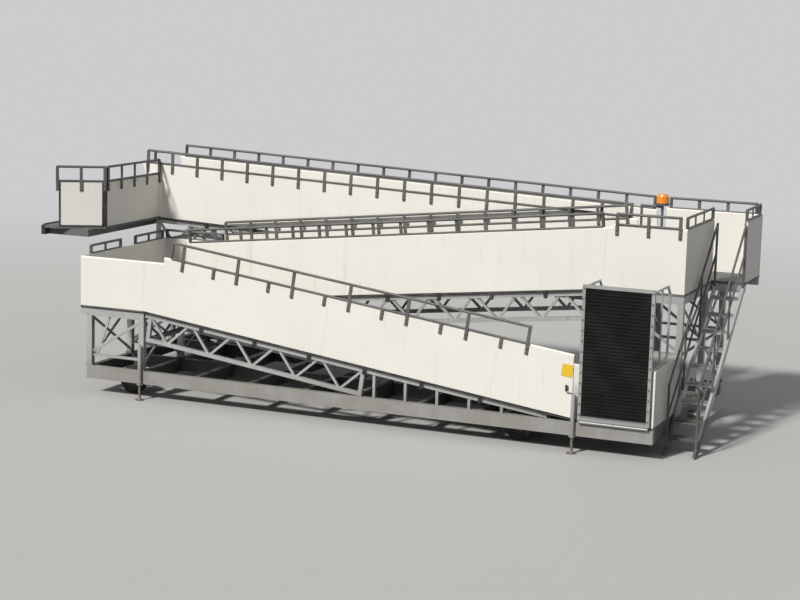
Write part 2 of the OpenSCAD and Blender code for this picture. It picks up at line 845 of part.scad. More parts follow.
// Lift masts stand on the long beams under the third flight's trusses
mast_foot_t = 16;
module lift_masts() {
    color(dark_steel) centred() for (y = mast_y) {
        translate([mast_x, y, chassis_top]) difference() {
            union() {
                cylinder(h = mast_h, r = mast_r);
                translate([0, 0, mast_h - mast_collar_h])
                    cylinder(h = mast_collar_h, r = mast_r + mast_collar);
                block([-2 * mast_r, mast_foot_in - mast_r, 0],
                      [2 * mast_r, mast_r - mast_foot_in, mast_foot_t]);
            }
            translate([0, 0, mast_foot_t]) cylinder(h = mast_h, r = ram_r + slip);
        }
    }
}

module mast_rams() {
    low = chassis_top + ram_hold;
    color(chrome) centred() {
        for (y = mast_y) {
            translate([mast_x, y, low]) cylinder(h = lift_point[1] - low, r = ram_r);
            translate([mast_x, y + chord / 2, lift_point[1]])
                rotate([90, 0, 0])
                    cylinder(h = chord, r = ram_r + ram_eye);
        }
        translate([mast_x, mast_y[0] - chord / 2, lift_point[1]])
            rotate([-90, 0, 0])
                cylinder(h = mast_y[1] - mast_y[0] + chord, r = shaft_r);
    }
}

// Left tower: carries the first landing and the left ends of two flights
frame_h = 110;
tower_left_y = [0, inner_y[0], lane_y[1] + lane_w - post_w];
tower_left_top = landing_one_z - deck_t;
tower_left_tie = 620;
brace_up = 60;
prop = [160, 250];

module tower_left() {
    under = tower_left_top - frame_h;
    low = chassis_top + brace_up;
    back = lane_y[1] + lane_w;
    a = tower_x[0] + post_w / 2;
    b = tower_x[1] + post_w / 2;
    color(steel) centred() {
        for (x = tower_x, y = tower_left_y) {
            block([x, y, chassis_top], [x + post_w, y + post_w, tower_left_top - frame_h / 2]);
        }
        for (y = tower_left_y) {
            block([landing_one_left, y, under], [landing_one_right, y + post_w, tower_left_top]);
            square_bar([a, tower_left_tie], [b, tower_left_tie], y + brace, brace, brace);
            square_bar([a, tower_left_tie + brace], [b, under - brace / 2], y + brace, brace, brace);
        }
        // short prop between the tie and the landing's front beam
        square_bar([chassis_left + prop[0], tower_left_tie + brace / 2],
                   [chassis_left + prop[0] + prop[1], under + frame_h / 2], brace, brace, brace / 2);
        for (x = tower_x) {
            block([x, post_w / 2, under], [x + post_w, back - post_w / 2, tower_left_top]);
            for (i = [0, 1]) {
                p = tower_left_y[i] + post_w / 2;
                q = tower_left_y[i + 1] + post_w / 2;
                cross_bar([p, low], [q, under], x + brace / 2, brace, brace / 2);
                cross_bar([q, low], [p, under], x + brace - weld_lap, brace, brace / 2);
            }
        }
        block([landing_one_left, post_w / 2, under],
              [landing_one_left + chord, back - post_w / 2, tower_left_top]);
    }
}

// Right tower: carries the second landing, the stair head and the hinge of the third flight
tower_right_x = [landing_two_left, chassis_right - post_w];
tower_right_y = [lane_y[1], inner_y[1], back_y - post_w];
tower_right_top = landing_two_z - deck_t;
tower_right_tie = 1290;

module tower_right() {
    under = tower_right_top - frame_h;
    low = chassis_top + brace_up;
    a = tower_right_x[0] + post_w / 2;
    b = tower_right_x[1] + post_w / 2;
    color(steel) centred() {
        for (x = tower_right_x, y = tower_right_y) {
            block([x, y, chassis_top], [x + post_w, y + post_w, tower_right_top]);
        }
        for (x = tower_right_x) {
            block([x, lane_y[1] + post_w / 2, under],
                  [x + post_w, back_y - post_w / 2, tower_right_top]);
            for (i = [0, 1], tier = [[low, tower_right_tie], [tower_right_tie - brace, under]]) {
                p = tower_right_y[i] + post_w / 2;
                q = tower_right_y[i + 1] + post_w / 2;
                cross_bar([p, tier[0]], [q, tier[1]], x + brace / 2, brace, brace / 2);
                cross_bar([q, tier[0]], [p, tier[1]], x + brace - weld_lap, brace, brace / 2);
            }
        }
        for (y = tower_right_y) {
            block([a, y, under], [b, y + post_w, tower_right_top]);
            square_bar([a, tower_right_tie], [b, tower_right_tie], y + brace, brace, brace);
            square_bar([a, low], [b, tower_right_tie - brace / 2], y + brace / 2, brace, brace / 2);
            square_bar([b, tower_right_tie + brace / 2], [a, under],
                       y + brace - weld_lap, brace, brace / 2);
        }
        for (y = [lane_y[2] + truss_in, lane_y[2] + far_truss]) {
            hinge_lugs(landing_two_left + 1, right_hinge[0], right_hinge[1], y);
        }
        // cantilever beams of the stair head
        for (y = [head_y, back_y - post_w]) {
            block([chassis_right - 1, y, under], [stair_right, y + post_w, tower_right_top]);
        }
    }
}

// Entry landing on the chassis, with the guards round it
module entry_deck() {
    color(deck_grey) centred() {
        block([landing_two_left, 0, chassis_top], [chassis_right, lane_w, entry_z]);
        for (x = [landing_two_left + cleat_pitch / 2 : cleat_pitch : chassis_right - cleat_pitch / 2]) {
            block([x, cleat_in, entry_z], [x + cleat_w, lane_w - cleat_in, entry_z + cleat_h]);
        }
    }
}

module entry_guard() {
    color(white) centred() {
        block([chassis_right - panel_t, 0, entry_z], [chassis_right, lane_w, entry_z + entry_guard_h]);
        block([landing_two_left + post_w, lane_w - panel_t, entry_z],
              [chassis_right - panel_t, lane_w, entry_z + entry_guard_h]);
    }
}

// First landing
module landing_one_deck() {
    color(deck_grey) centred() {
        block([landing_one_left, 0, landing_one_z - deck_t],
              [landing_one_right, lane_y[1] + lane_w, landing_one_z]);
    }
}

module landing_one_panels() {
    back = lane_y[1] + lane_w;
    top = landing_one_z + landing_panel_h;
    color(white) centred() {
        // the near panel's foot turns down with the first flight
        translate([0, panel_t, 0]) rotate([90, 0, 0]) linear_extrude(panel_t) polygon([
            [landing_one_left, landing_one_z], [landing_one_right, landing_one_z],
            [panel_step, deck_height(flight_one, panel_step)], [panel_step, top], [landing_one_left, top]
        ]);
        block([landing_one_left, panel_t, landing_one_z], [landing_one_left + panel_t, back - panel_t, top]);
        block([landing_one_left, back - panel_t, landing_one_z], [landing_one_right - slip, back, top]);
    }
}

// A rail on the far side, and a short one on the end panel of each lane
end_rail_in = 280;
end_rail_len = 920;
module landing_one_rails() {
    length = landing_one_right - landing_one_left - rail_d;
    color(dark_steel) centred() translate([landing_one_left, 0, landing_one_z]) {
        translate([0, lane_y[1] + lane_w, 0]) mirror([0, 1, 0])
            handrail(0, length, landing_panel_h, landing_rail_h);
        for (y = [lane_y[0], lane_y[1]]) {
            translate([0, y + end_rail_in + end_rail_len, 0]) rotate([0, 0, -90])
                handrail(0, end_rail_len, landing_panel_h, landing_rail_h);
        }
    }
}

// Second landing with the stair head beside it
stair_head_w = 1000;
head_y = back_y - stair_head_w;
divider_len = 360;
divider_y = lane_y[2] - lane_gap / 2;

module landing_two_deck() {
    color(deck_grey) centred() {
        block([landing_two_left, lane_y[1], landing_two_z - deck_t],
              [landing_two_right, back_y, landing_two_z]);
        block([landing_two_right - 1, head_y, landing_two_z - deck_t], [stair_right, back_y, landing_two_z]);
    }
}

module landing_two_panels() {
    low = landing_two_z;
    top = low + landing_two_panel_h;
    color(white) centred() {
        block([landing_two_left + slip, lane_y[1], low], [landing_two_right, lane_y[1] + panel_t, top]);
        block([landing_two_right - panel_t, lane_y[1] + panel_t, low],
              [landing_two_right, head_y - rail_d, top]);
        block([landing_two_left + 2 * rail_d, back_y - panel_t, low], [stair_right, back_y, top]);
        block([stair_right - panel_t, head_y, low], [stair_right, back_y - panel_t, top]);
    }
}

module landing_two_rails() {
    up = rail_h;
    h = landing_two_panel_h;
    length = landing_two_right - landing_two_left;
    end_len = head_y - rail_d - lane_y[1];
    color(dark_steel) centred() {
        translate([landing_two_left, lane_y[1], landing_two_z])
            handrail(rail_d, length - 2 * rail_d, h, up);
        translate([landing_two_right, lane_y[1], landing_two_z])
            rotate([0, 0, 90]) handrail_inside(2 * rail_d, end_len, h, up);
        translate([landing_two_left, back_y, landing_two_z]) mirror([0, 1, 0])
            handrail(3 * rail_d, stair_right - landing_two_left - 2 * rail_d, h, up);
        translate([stair_right, head_y, landing_two_z])
            rotate([0, 0, 90]) handrail_inside(0, back_y - head_y - 2 * rail_d, h, up);
        // divider between the two flights that meet here
        bent_tube([
            [landing_two_left + rail_d, divider_y, landing_two_z],
            [landing_two_left + rail_d, divider_y, landing_two_z + up],
            [landing_two_left + divider_len, divider_y, landing_two_z + up],
            [landing_two_left + divider_len, divider_y, landing_two_z]
        ], rail_d);
    }
}

// The same handrail with its posts on the inner face of the panel
module handrail_inside(x0, x1, panel_top, top) {
    translate([0, panel_t, 0]) mirror([0, 1, 0]) handrail(x0, x1, panel_top, top);
}

// Beacon on the divider's end post
beacon_base_r = 100;
beacon_r = 92;
beacon_base_h = 35;
beacon_h = 140;
module at_beacon() {
    seat = landing_two_z + rail_h + ball * rail_d / 2 + slip;
    translate([landing_two_left + divider_len, divider_y, seat]) children();
}

module beacon_post() {
    color(dark_steel) centred() at_beacon() cylinder(h = beacon_base_h, r = beacon_base_r);
}

module beacon_lens() {
    color(amber) centred() at_beacon() translate([0, 0, beacon_base_h])
        rotate_extrude($fn = 64) polygon([
            [0, 0], [beacon_r, 0], [beacon_r * 0.97, beacon_h * 0.7],
            [beacon_r * 0.8, beacon_h * 0.93], [beacon_r * 0.45, beacon_h], [0, beacon_h]
        ]);
}

// Service stair up to the stair head
stair_foot_y = 450;
stringer_t = 40;
stringer_h = 200;
tread_t = 30;
stair_slope = landing_two_z / (head_y - stair_foot_y);
riser = landing_two_z / (tread_count + 1);
tread_step = (head_y - stair_foot_y) / (tread_count + 1);
function stair_z(y) = (y - stair_foot_y) * stair_slope;

stringer_over = 40;
stringer_x = [stair_left, stair_right - stringer_t];
module stringers() {
    for (x = stringer_x) translate([x, 0, 0]) rotate([90, 0, 90]) linear_extrude(stringer_t) polygon([
        [stair_foot_y + (stair_clear - stringer_over) / stair_slope, stair_clear],
        [stair_foot_y + (stair_clear - stringer_over + stringer_h) / stair_slope, stair_clear],
        [head_y, stair_z(head_y) + stringer_over - stringer_h],
        [head_y, stair_z(head_y) - tread_t]
    ]);
}

module stair_steps() {
    color(steel) centred() {
        stringers();
        for (i = [1 : tread_count]) {
            y = stair_foot_y + i * tread_step;
            z = i * riser;
            block([stair_left + stringer_t / 2, y, z - tread_t],
                  [stair_right - stringer_t / 2, y + tread_run, z]);
        }
    }
}

stair_tube_d = 36;
thin_tube_d = 32;
stair_rail_in = 120;
tube_root = 60;
module stair_rails() {
    foot = stair_foot_y + stair_rail_in;
    head = head_y - rail_d;
    color(dark_steel) centred() difference() {
        for (x = stringer_x + [stringer_t / 2, stringer_t / 2]) {
            bent_tube([
                [x, foot, stair_z(foot) - tube_root],
                [x, foot, stair_z(foot) + stair_rail_h],
                [x, head, stair_z(head) + stair_rail_h],
                [x, head, stair_z(head) - tube_root]
            ], stair_tube_d);
            for (part = [1 / 3, 2 / 3]) {
                y = foot + part * (head - foot);
                round_bar([x, y, stair_z(y) - tube_root], [x, y, stair_z(y) + stair_rail_h], thin_tube_d);
            }
            round_bar([x, foot, stair_z(foot) + stair_rail_h / 2],
                      [x, head, stair_z(head) + stair_rail_h / 2], thin_tube_d);
        }
        stringers();
    }
}

// Entry flap, folded up: a ribbed leaf in a light frame with barrels on its hinge bar
flap_edge = 45;
flap_skin = 10;
flap_rib_h = 14;
flap_root = 30;
rib_inset = 4;
module entry_flap() {
    low = flap_z + flap_root;
    top = flap_z + flap_len;
    y0 = flap_y - flap_t / 2;
    y1 = flap_y + flap_t / 2;
    rib_pitch = (flap_len - flap_root - 2 * flap_edge) / flap_ribs;
    barrel_len = (flap_right - flap_left - 2 * lug_inset - 3 * lug_t) / 2 - 2 * lug_gap;
    color(dark_steel) centred() {
        for (x = [flap_left, flap_right - flap_edge]) block([x, y0, low], [x + flap_edge, y1, top]);
        for (z = [low, top - flap_edge]) block([flap_left, y0, z], [flap_right, y1, z + flap_edge]);
        block([flap_left, flap_y - flap_skin / 2, low], [flap_right, flap_y + flap_skin / 2, top]);
        for (i = [0 : flap_ribs - 1]) {
            z = low + flap_edge + (i + 0.3) * rib_pitch;
            block([flap_left + 1, y0 + rib_inset, z], [flap_right - 1, y1 - rib_inset, z + flap_rib_h]);
        }
        difference() {
            for (i = [0, 1]) {
                x = flap_left + lug_inset + lug_t + lug_gap + i * (barrel_len + lug_t + 2 * lug_gap);
                translate([x, flap_y, flap_z]) rotate([0, 90, 0]) cylinder(h = barrel_len, r = flap_barrel_r);
                block([x, flap_y - flap_barrel_r / 2, flap_z],
                      [x + barrel_len, flap_y + flap_barrel_r / 2, low + 1]);
            }
            translate([flap_left, flap_y, flap_z])
                rotate([0, 90, 0])
                    cylinder(h = flap_right - flap_left, r = hinge_bar_r + fit);
        }
    }
}

// Bent-tube hoops along the flap's two edges: its handrails when it is down
hoop_from = 0.42;
hoop_tube_d = 36;
hoop_bar_d = 28;
bend = 120;
module flap_hoops() {
    low = flap_z + hoop_from * flap_len;
    top = flap_z + flap_len - rail_d;
    y0 = flap_y + flap_t / 2;
    color(steel) centred() for (x = [flap_left + rail_d / 2, flap_right - rail_d / 2]) {
        bent_tube([
            [x, y0, low], [x, y0 + hoop_d - bend, low], [x, y0 + hoop_d, low + bend],
            [x, y0 + hoop_d, top - bend], [x, y0 + hoop_d - bend, top], [x, y0, top]
        ], hoop_tube_d);
        round_bar([x, y0 + hoop_d / 2, low], [x, y0 + hoop_d / 2, top], hoop_bar_d);
    }
}

// Top platform: its deck in plan, the frame under it and the hinge lugs of the third flight
platform_frame = 110;
platform_plan = [
    [platform_left, platform_front], [platform_nose, platform_front],
    [platform_right, platform_front + platform_skew], [platform_right, platform_step],
    [platform_neck, platform_step], [platform_neck, back_y], [platform_left, back_y]
];

module platform_deck() {
    under = platform_z - deck_t;
    low = under - platform_frame;
    color(deck_grey) centred() {
        translate([0, 0, under]) linear_extrude(deck_t) polygon(platform_plan);
        for (y = [platform_front + 2 * chord, (platform_front + back_y) / 2, back_y - 2 * post_w]) {
            block([platform_left, y, low], [platform_neck, y + post_w, under + 1]);
        }
        for (x = [platform_left, platform_neck - post_w]) {
            block([x, platform_front + platform_skew / 2, low], [x + post_w, back_y, under + 1]);
        }
        for (y = [lane_y[2] + truss_in, lane_y[2] + far_truss]) {
            hinge_lugs(platform_neck - 1, left_hinge[0], left_hinge[1], y);
        }
        // bridging plate over the hinge
        block([platform_neck - 2 * hinge_gap, lane_y[2] + 2 * panel_t, platform_z - plate_t],
              [platform_neck + 3 * hinge_gap, back_y - 2 * panel_t, platform_z]);
    }
}

module along_edge(p, q) {
    translate([p[0], p[1], platform_z]) rotate([0, 0, atan2(q[1] - p[1], q[0] - p[0])]) children();
}

skew_len = norm(platform_plan[2] - platform_plan[1]);
side_len = platform_step - platform_front - platform_skew;
back_end = platform_neck + three_lean_left - 2 * rail_d;

module platform_panels() {
    h = platform_panel_h;
    color(white) centred() {
        along_edge(platform_plan[1], platform_plan[2]) block([rail_d, 0, 0], [skew_len - rail_d, panel_t, h]);
        block([platform_right - panel_t, platform_front + platform_skew + rail_d, platform_z],
              [platform_right, platform_step, platform_z + h]);
        block([platform_left + rail_d, back_y - panel_t, platform_z], [back_end, back_y, platform_z + h]);
    }
}

platform_rail_up = 950;
module platform_rails() {
    h = platform_panel_h;
    up = platform_rail_up;
    color(dark_steel) centred() {
        along_edge(platform_plan[1], platform_plan[2]) handrail(0, skew_len, h, up);
        translate([platform_right, platform_front + platform_skew + rail_d, platform_z])
            rotate([0, 0, 90]) handrail(0, side_len - rail_d, h, up);
        translate([platform_left, back_y, platform_z]) mirror([0, 1, 0])
            handrail(0, back_end - platform_left, h, up);
    }
}

module bumper() {
    color(rubber_black) centred() {
        block([whole_left, platform_front, platform_z - deck_t - platform_frame],
              [platform_left, back_y, platform_z]);
    }
}

chassis_frame();
chassis_ties();
axle_fixed();
axle_steered();
tower_left();
tower_right();
jack_sleeves();
lift_masts();
entry_deck();
entry_guard();
flight_one_truss();
flight_one_deck();
flight_one_panels();
flight_one_rails();
flight_two_truss();
flight_two_deck();
flight_two_panels();
flight_two_rails();
landing_one_deck();
landing_one_panels();
landing_one_rails();
landing_two_deck();
landing_two_panels();
landing_two_rails();
stair_steps();
stair_rails();
beacon_post();
beacon_lens();
jack_leg_1();
jack_leg_2();
jack_leg_3();
jack_leg_4();
tyre_1();
tyre_2();
tyre_3();
tyre_4();
rim_1();
rim_2();
rim_3();
rim_4();
knuckle_front();
knuckle_back();
tie_rod();
entry_flap();
flap_hoops();
mast_rams();
flight_three_truss();
flight_three_deck();
flight_three_panels();
flight_three_rails();
platform_deck();
platform_panels();
platform_rails();
bumper();
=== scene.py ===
# %% [markdown]
# An aircraft boarding ramp, finished for its picture.
# The real machine is a welded steel trailer that carries three sloping flights side by side. Its
# shape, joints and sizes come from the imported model, so this file never moves them. What it adds is
# what a workshop adds last: zinc, paint, rubber, bolts, rivets, trims and grip.

import json
import math

import bmesh
import bpy
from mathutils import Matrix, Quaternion, Vector


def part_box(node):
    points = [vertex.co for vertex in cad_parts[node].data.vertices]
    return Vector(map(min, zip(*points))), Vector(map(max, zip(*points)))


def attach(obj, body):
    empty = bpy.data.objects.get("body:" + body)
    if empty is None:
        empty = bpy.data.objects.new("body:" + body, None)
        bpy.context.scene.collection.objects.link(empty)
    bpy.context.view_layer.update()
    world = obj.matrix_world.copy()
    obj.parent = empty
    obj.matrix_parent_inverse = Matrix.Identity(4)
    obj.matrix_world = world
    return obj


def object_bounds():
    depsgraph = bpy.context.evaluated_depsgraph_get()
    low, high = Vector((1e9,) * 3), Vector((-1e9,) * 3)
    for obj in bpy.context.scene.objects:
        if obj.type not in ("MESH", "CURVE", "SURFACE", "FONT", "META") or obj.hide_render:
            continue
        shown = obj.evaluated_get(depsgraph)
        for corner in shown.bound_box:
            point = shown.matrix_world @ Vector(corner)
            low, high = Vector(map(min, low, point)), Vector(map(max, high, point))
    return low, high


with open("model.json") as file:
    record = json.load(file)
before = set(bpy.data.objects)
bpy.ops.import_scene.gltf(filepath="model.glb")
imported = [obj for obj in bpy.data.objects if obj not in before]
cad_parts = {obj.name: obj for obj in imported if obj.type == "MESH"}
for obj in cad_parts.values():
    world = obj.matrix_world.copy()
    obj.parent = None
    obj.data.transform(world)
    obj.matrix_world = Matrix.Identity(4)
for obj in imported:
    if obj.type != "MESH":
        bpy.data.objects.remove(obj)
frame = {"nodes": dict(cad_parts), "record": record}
cad_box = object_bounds()
nodes = frame["nodes"]
scene = bpy.context.scene
scene.view_settings.view_transform = "Standard"

# %% [markdown]
# The camera stands where the photograph was taken: on a balcony, about thirty metres from the ramp's
# near side and six and a half metres up. Perspective depends only on that place, so the lens may be
# longer than the real one to fill the frame, and the camera turns to face the machine's middle. The
# photograph's horizon falls a little to the right, which is the small roll.

# %% Camera
CAMERA_PLACE = Vector((11.765, -27.54, 6.45))
CAMERA_TARGET = Vector((0.23, 0.0, 1.60))
CAMERA_LENS_MM = 87.0
CAMERA_ROLL = math.radians(1.6)

camera_data = bpy.data.cameras.new("camera")
camera_data.lens = CAMERA_LENS_MM
camera_data.sensor_width = 36.0
camera_data.clip_end = 400.0
camera = bpy.data.objects.new("camera", camera_data)
scene.collection.objects.link(camera)
camera.rotation_mode = "QUATERNION"
camera.location = CAMERA_PLACE
facing = (CAMERA_TARGET - CAMERA_PLACE).to_track_quat("-Z", "Y")
camera.rotation_quaternion = facing @ Quaternion((0.0, 0.0, 1.0), CAMERA_ROLL)
scene.camera = camera
print("camera distance", round((CAMERA_TARGET - CAMERA_PLACE).length, 2), "m")

# %% [markdown]
# Shader arithmetic reads best as arithmetic. A Wire wraps one output of a material's node tree, and
# each operator adds a Math node, so "1 - mask" is a node as well as an expression. A Finish is one
# material: its tree, the place on the piece it paints, and one method that adds any other node.

# %% Wires and finishes
class Wire:
    """One output socket in a material, which takes part in Python expressions."""

    def __init__(self, finish, socket):
        self.finish = finish
        self.socket = socket

    def maths(self, operation, *values):
        made = self.finish.tree.nodes.new("ShaderNodeMath")
        made.operation = operation
        for socket, value in zip(made.inputs, values):
            self.finish.plug(socket, value)
        return Wire(self.finish, made.outputs[0])

    def __add__(self, other):
        return self.maths("ADD", self, other)

    __radd__ = __add__

    def __sub__(self, other):
        return self.maths("SUBTRACT", self, other)

    def __rsub__(self, other):
        return self.maths("SUBTRACT", other, self)

    def __mul__(self, other):
        return self.maths("MULTIPLY", self, other)

    __rmul__ = __mul__

    def __lt__(self, other):
        return self.maths("LESS_THAN", self, other)

    def __gt__(self, other):
        return self.maths("GREATER_THAN", self, other)

    def size(self):
        return self.maths("ABSOLUTE", self)

    def fade(self, low, high):
        """0 below low, 1 above high, and a smooth step between them; low may be the greater."""
        settings = {"interpolation_type": "SMOOTHSTEP"}
        inputs = {"Value": self, "From Min": low, "From Max": high}
        return self.finish.node("ShaderNodeMapRange", settings, inputs)


class Finish:
    """One procedural material around a Principled shader."""

    def __init__(self, name):
        self.material = bpy.data.materials.new(name)
        self.material.use_nodes = True
        self.tree = self.material.node_tree
        self.shader = self.tree.nodes["Principled BSDF"]
        self.place = self.node("ShaderNodeTexCoord", out="Object")

    def plug(self, socket, value):
        if isinstance(value, Wire):
            self.tree.links.new(value.socket, socket)
        else:
            socket.default_value = value

    def node(self, kind, settings=None, inputs=None, out=0):
        made = self.tree.nodes.new(kind)
        for key, value in (settings or {}).items():
            setattr(made, key, value)
        for key, value in (inputs or {}).items():
            self.plug(made.inputs[key], value)
        return Wire(self, made.outputs[out])

    def axis(self, letter):
        return self.node("ShaderNodeSeparateXYZ", inputs={"Vector": self.place}, out=letter)

    def noise(self, scale, detail=3.0, stretch=(1.0, 1.0, 1.0)):
        where = self.node("ShaderNodeMapping", inputs={"Vector": self.place, "Scale": stretch})
        inputs = {"Vector": where, "Scale": scale, "Detail": detail}
        return self.node("ShaderNodeTexNoise", inputs=inputs)

    def cells(self, scale, out="Distance"):
        return self.node("ShaderNodeTexVoronoi", inputs={"Vector": self.place, "Scale": scale}, out=out)

    def blend(self, factor, first, second):
        made = self.tree.nodes.new("ShaderNodeMix")
        made.data_type = "RGBA"
        for key, value in (("Factor_Float", factor), ("A_Color", first), ("B_Color", second)):
            socket = next(s for s in made.inputs if s.identifier == key)
            self.plug(socket, value)
        return Wire(self, next(s for s in made.outputs if s.identifier == "Result_Color"))

    def bump(self, height, depth, strength=1.0):
        inputs = {"Height": height, "Distance": depth, "Strength": strength}
        self.set("Normal", self.node("ShaderNodeBump", inputs=inputs))

    def set(self, name, value):
        self.plug(self.shader.inputs[name], value)

# %% [markdown]
# Hot-dip zinc is what most of this machine wears. Fresh zinc shows leaf-shaped spangles a
# centimetre or two across, and it dulls with rain, so the sheen is broken up by cloudy patches.
# Voronoi cells give the spangle and stretched noise the rain. Road dust dulls what is low, and on the
# ties between the long beams, low under the decks, near-black painted shade stands for the shadow they
# lie in.

# %% Zinc finish
WHITE_DUST = (0.42, 0.39, 0.34, 1.0)
ROAD_DUST = (0.20, 0.180, 0.155, 1.0)
# painted shade: the near black that low zinc between the long beams takes, for the shade under the
# decks
UNDERSIDE_SHADE = (0.045, 0.042, 0.038, 1.0)
SHADE_HALF_WIDTH = 1.90


def zinc(name, fresh, dull, metallic=0.55):
    finish = Finish(name)
    spangle = finish.cells(70.0, out="Color")
    cloud = finish.noise(2.6, detail=5.0)
    runs = finish.noise(5.0, detail=4.0, stretch=(4.0, 4.0, 0.35))
    low = finish.axis("Z").fade(0.72, 0.42) * (0.5 + cloud.fade(0.30, 0.62) * 0.4)
    # painted shade mask: zinc that is low and inside the long beams
    painted_shade = finish.axis("Z").fade(0.50, 0.45) * (finish.axis("Y").size() < SHADE_HALF_WIDTH)
    colour = finish.blend(spangle * 0.55 + cloud * 0.45, dull, fresh)
    colour = finish.blend(runs.fade(0.56, 0.78) * 0.30, colour, (0.17, 0.15, 0.13, 1.0))
    colour = finish.blend(low * 0.75, colour, ROAD_DUST)
    colour = finish.blend(painted_shade * 0.80, colour, UNDERSIDE_SHADE)
    finish.set("Base Color", colour)
    finish.set("Metallic", metallic * (1 - low * 0.8))
    finish.set("Roughness", 0.38 + spangle * 0.12 + cloud * 0.18)
    finish.bump(spangle * 0.4 + cloud, 0.0006, 0.5)
    return finish.material


FINISHES = {
    "galvanised_steel": zinc("galvanised_steel", (0.56, 0.57, 0.57, 1), (0.37, 0.38, 0.38, 1)),
    "jack_steel": zinc("jack_steel", (0.29, 0.26, 0.24, 1), (0.15, 0.115, 0.095, 1), metallic=0.6),
}
print("zinc:", ", ".join(FINISHES))

# %% [markdown]
# The guards are cream-white coated sheet. From the balcony they look plain, and up close they are
# not: thin sheet buckles slightly between its rivets, rain leaves grey runs below every fixing, and
# the gloss is uneven where people wipe past. All of it stays faint, since too much reads as dirt.

# %% Coated sheet
def coated_sheet():
    finish = Finish("white_panel")
    cloud = finish.noise(0.9, detail=4.0)
    runs = finish.noise(3.2, detail=5.0, stretch=(5.0, 5.0, 0.22))
    specks = finish.noise(34.0, detail=2.0)
    colour = finish.blend(cloud.fade(0.30, 0.70), (0.800, 0.785, 0.735, 1), (0.835, 0.820, 0.775, 1))
    colour = finish.blend(runs.fade(0.57, 0.80) * 0.34, colour, (0.52, 0.49, 0.43, 1))
    colour = finish.blend(specks.fade(0.70, 0.80) * 0.22, colour, (0.45, 0.40, 0.33, 1))
    finish.set("Base Color", colour)
    finish.set("Roughness", 0.34 + cloud * 0.16 + runs * 0.08)
    buckle = finish.noise(1.7, detail=1.0, stretch=(0.6, 0.6, 1.0))
    finish.bump(buckle + specks * 0.02, 0.004, 0.35)
    return finish.material


FINISHES["white_panel"] = coated_sheet()
print("sheet: cream white, rain runs, slight buckling")

# %% [markdown]
# Three dark paints differ by what wears them. Rails are rubbed by hands and bleach to grey, the
# running gear gathers road dust on whatever is low, and both chip down to a lighter primer. One
# recipe with four colours serves, since only the amounts differ.

# %% Dark paints
def dark_paint(name, paint, faded, chip, dust_top, roughness):
    finish = Finish(name)
    cloud = finish.noise(1.8, detail=5.0)
    fine = finish.noise(26.0, detail=4.0)
    colour = finish.blend(cloud.fade(0.30, 0.72), paint, faded)
    chips = fine.fade(0.66, 0.72)
    colour = finish.blend(chips * 0.5, colour, chip)
    dust = finish.axis("Z").fade(dust_top, 0.02) * finish.noise(6.0, detail=5.0).fade(0.28, 0.66)
    colour = finish.blend(dust * 0.6, colour, ROAD_DUST)
    finish.set("Base Color", colour)
    finish.set("Roughness", roughness + cloud * 0.14 + dust * 0.25)
    finish.bump(fine * 0.6 - chips * 0.8, 0.0005, 0.5)
    return finish.material


PAINTS = (
    # name, paint, faded, chip, height the dust reaches, roughness
    ("dark_rail", (0.078, 0.079, 0.078, 1), (0.140, 0.140, 0.136, 1), (0.26, 0.26, 0.25, 1), 0.9, 0.42),
    ("running_gear", (0.02, 0.02, 0.022, 1), (0.045, 0.045, 0.047, 1), (0.12, 0.1, 0.09, 1), 0.6, 0.45),
    ("rim", (0.210, 0.215, 0.220, 1), (0.290, 0.295, 0.300, 1), (0.10, 0.09, 0.08, 1), 0.5, 0.40),
)
for name, paint, faded, chip, dust_top, roughness in PAINTS:
    FINISHES[name] = dark_paint(name, paint, faded, chip, dust_top, roughness)
print("paints:", ", ".join(row[0] for row in PAINTS))

# %% [markdown]
# Decks are grey plate with grit bonded on, so wet shoes hold. The grit is finer than a pixel from
# the balcony but fills a close view, so it is height in the material; the raised cleats are real.
# Pale dust lies on it in cloudy patches.

# %% Deck plate
def gritted_deck():
    finish = Finish("deck_plate")
    grit = finish.cells(420.0)
    grain = finish.cells(420.0, out="Color")
    cloud = finish.noise(1.4, detail=5.0)
    colour = finish.blend(grain * 0.6 + cloud * 0.4, (0.085, 0.088, 0.092, 1), (0.200, 0.203, 0.206, 1))
    colour = finish.blend(cloud.fade(0.52, 0.74) * 0.5, colour, WHITE_DUST)
    finish.set("Base Color", colour)
    finish.set("Roughness", 0.62 + grain * 0.2)
    finish.set("Metallic", 0.15)
    finish.bump(1 - grit, 0.0012, 0.7)
    return finish.material


FINISHES["deck_plate"] = gritted_deck()
print("deck: bonded grit, 2.4 mm grains")

# %% [markdown]
# Rubber, chrome and the beacon's dome finish the list. The entry flap is one welded leaf with two
# looks: black ribs inside a bare zinc frame. Its own corners tell the shader where the frame is, so
# the two looks share one material and the edge between them is exact.

# %% Rubber, chrome, dome and flap
def rubber(name, dust):
    finish = Finish(name)
    cloud = finish.noise(5.0, detail=5.0)
    fine = finish.noise(90.0, detail=3.0)
    colour = finish.blend(cloud.fade(0.35, 0.75), (0.014, 0.014, 0.015, 1), (0.040, 0.039, 0.038, 1))
    colour = finish.blend(cloud.fade(0.45, 0.72) * dust, colour, ROAD_DUST)
    finish.set("Base Color", colour)
    finish.set("Roughness", 0.62 + fine * 0.22)
    finish.bump(fine, 0.0006, 0.6)
    return finish.material


def chrome():
    finish = Finish("ram_chrome")
    film = finish.noise(14.0, detail=3.0).fade(0.45, 0.75)
    finish.set("Base Color", finish.blend(film, (0.62, 0.63, 0.65, 1), (0.40, 0.38, 0.35, 1)))
    finish.set("Metallic", 1.0)
    finish.set("Roughness", 0.10 + film * 0.22)
    finish.bump(finish.noise(60.0, stretch=(1.0, 1.0, 0.05)), 0.0002, 0.3)
    return finish.material


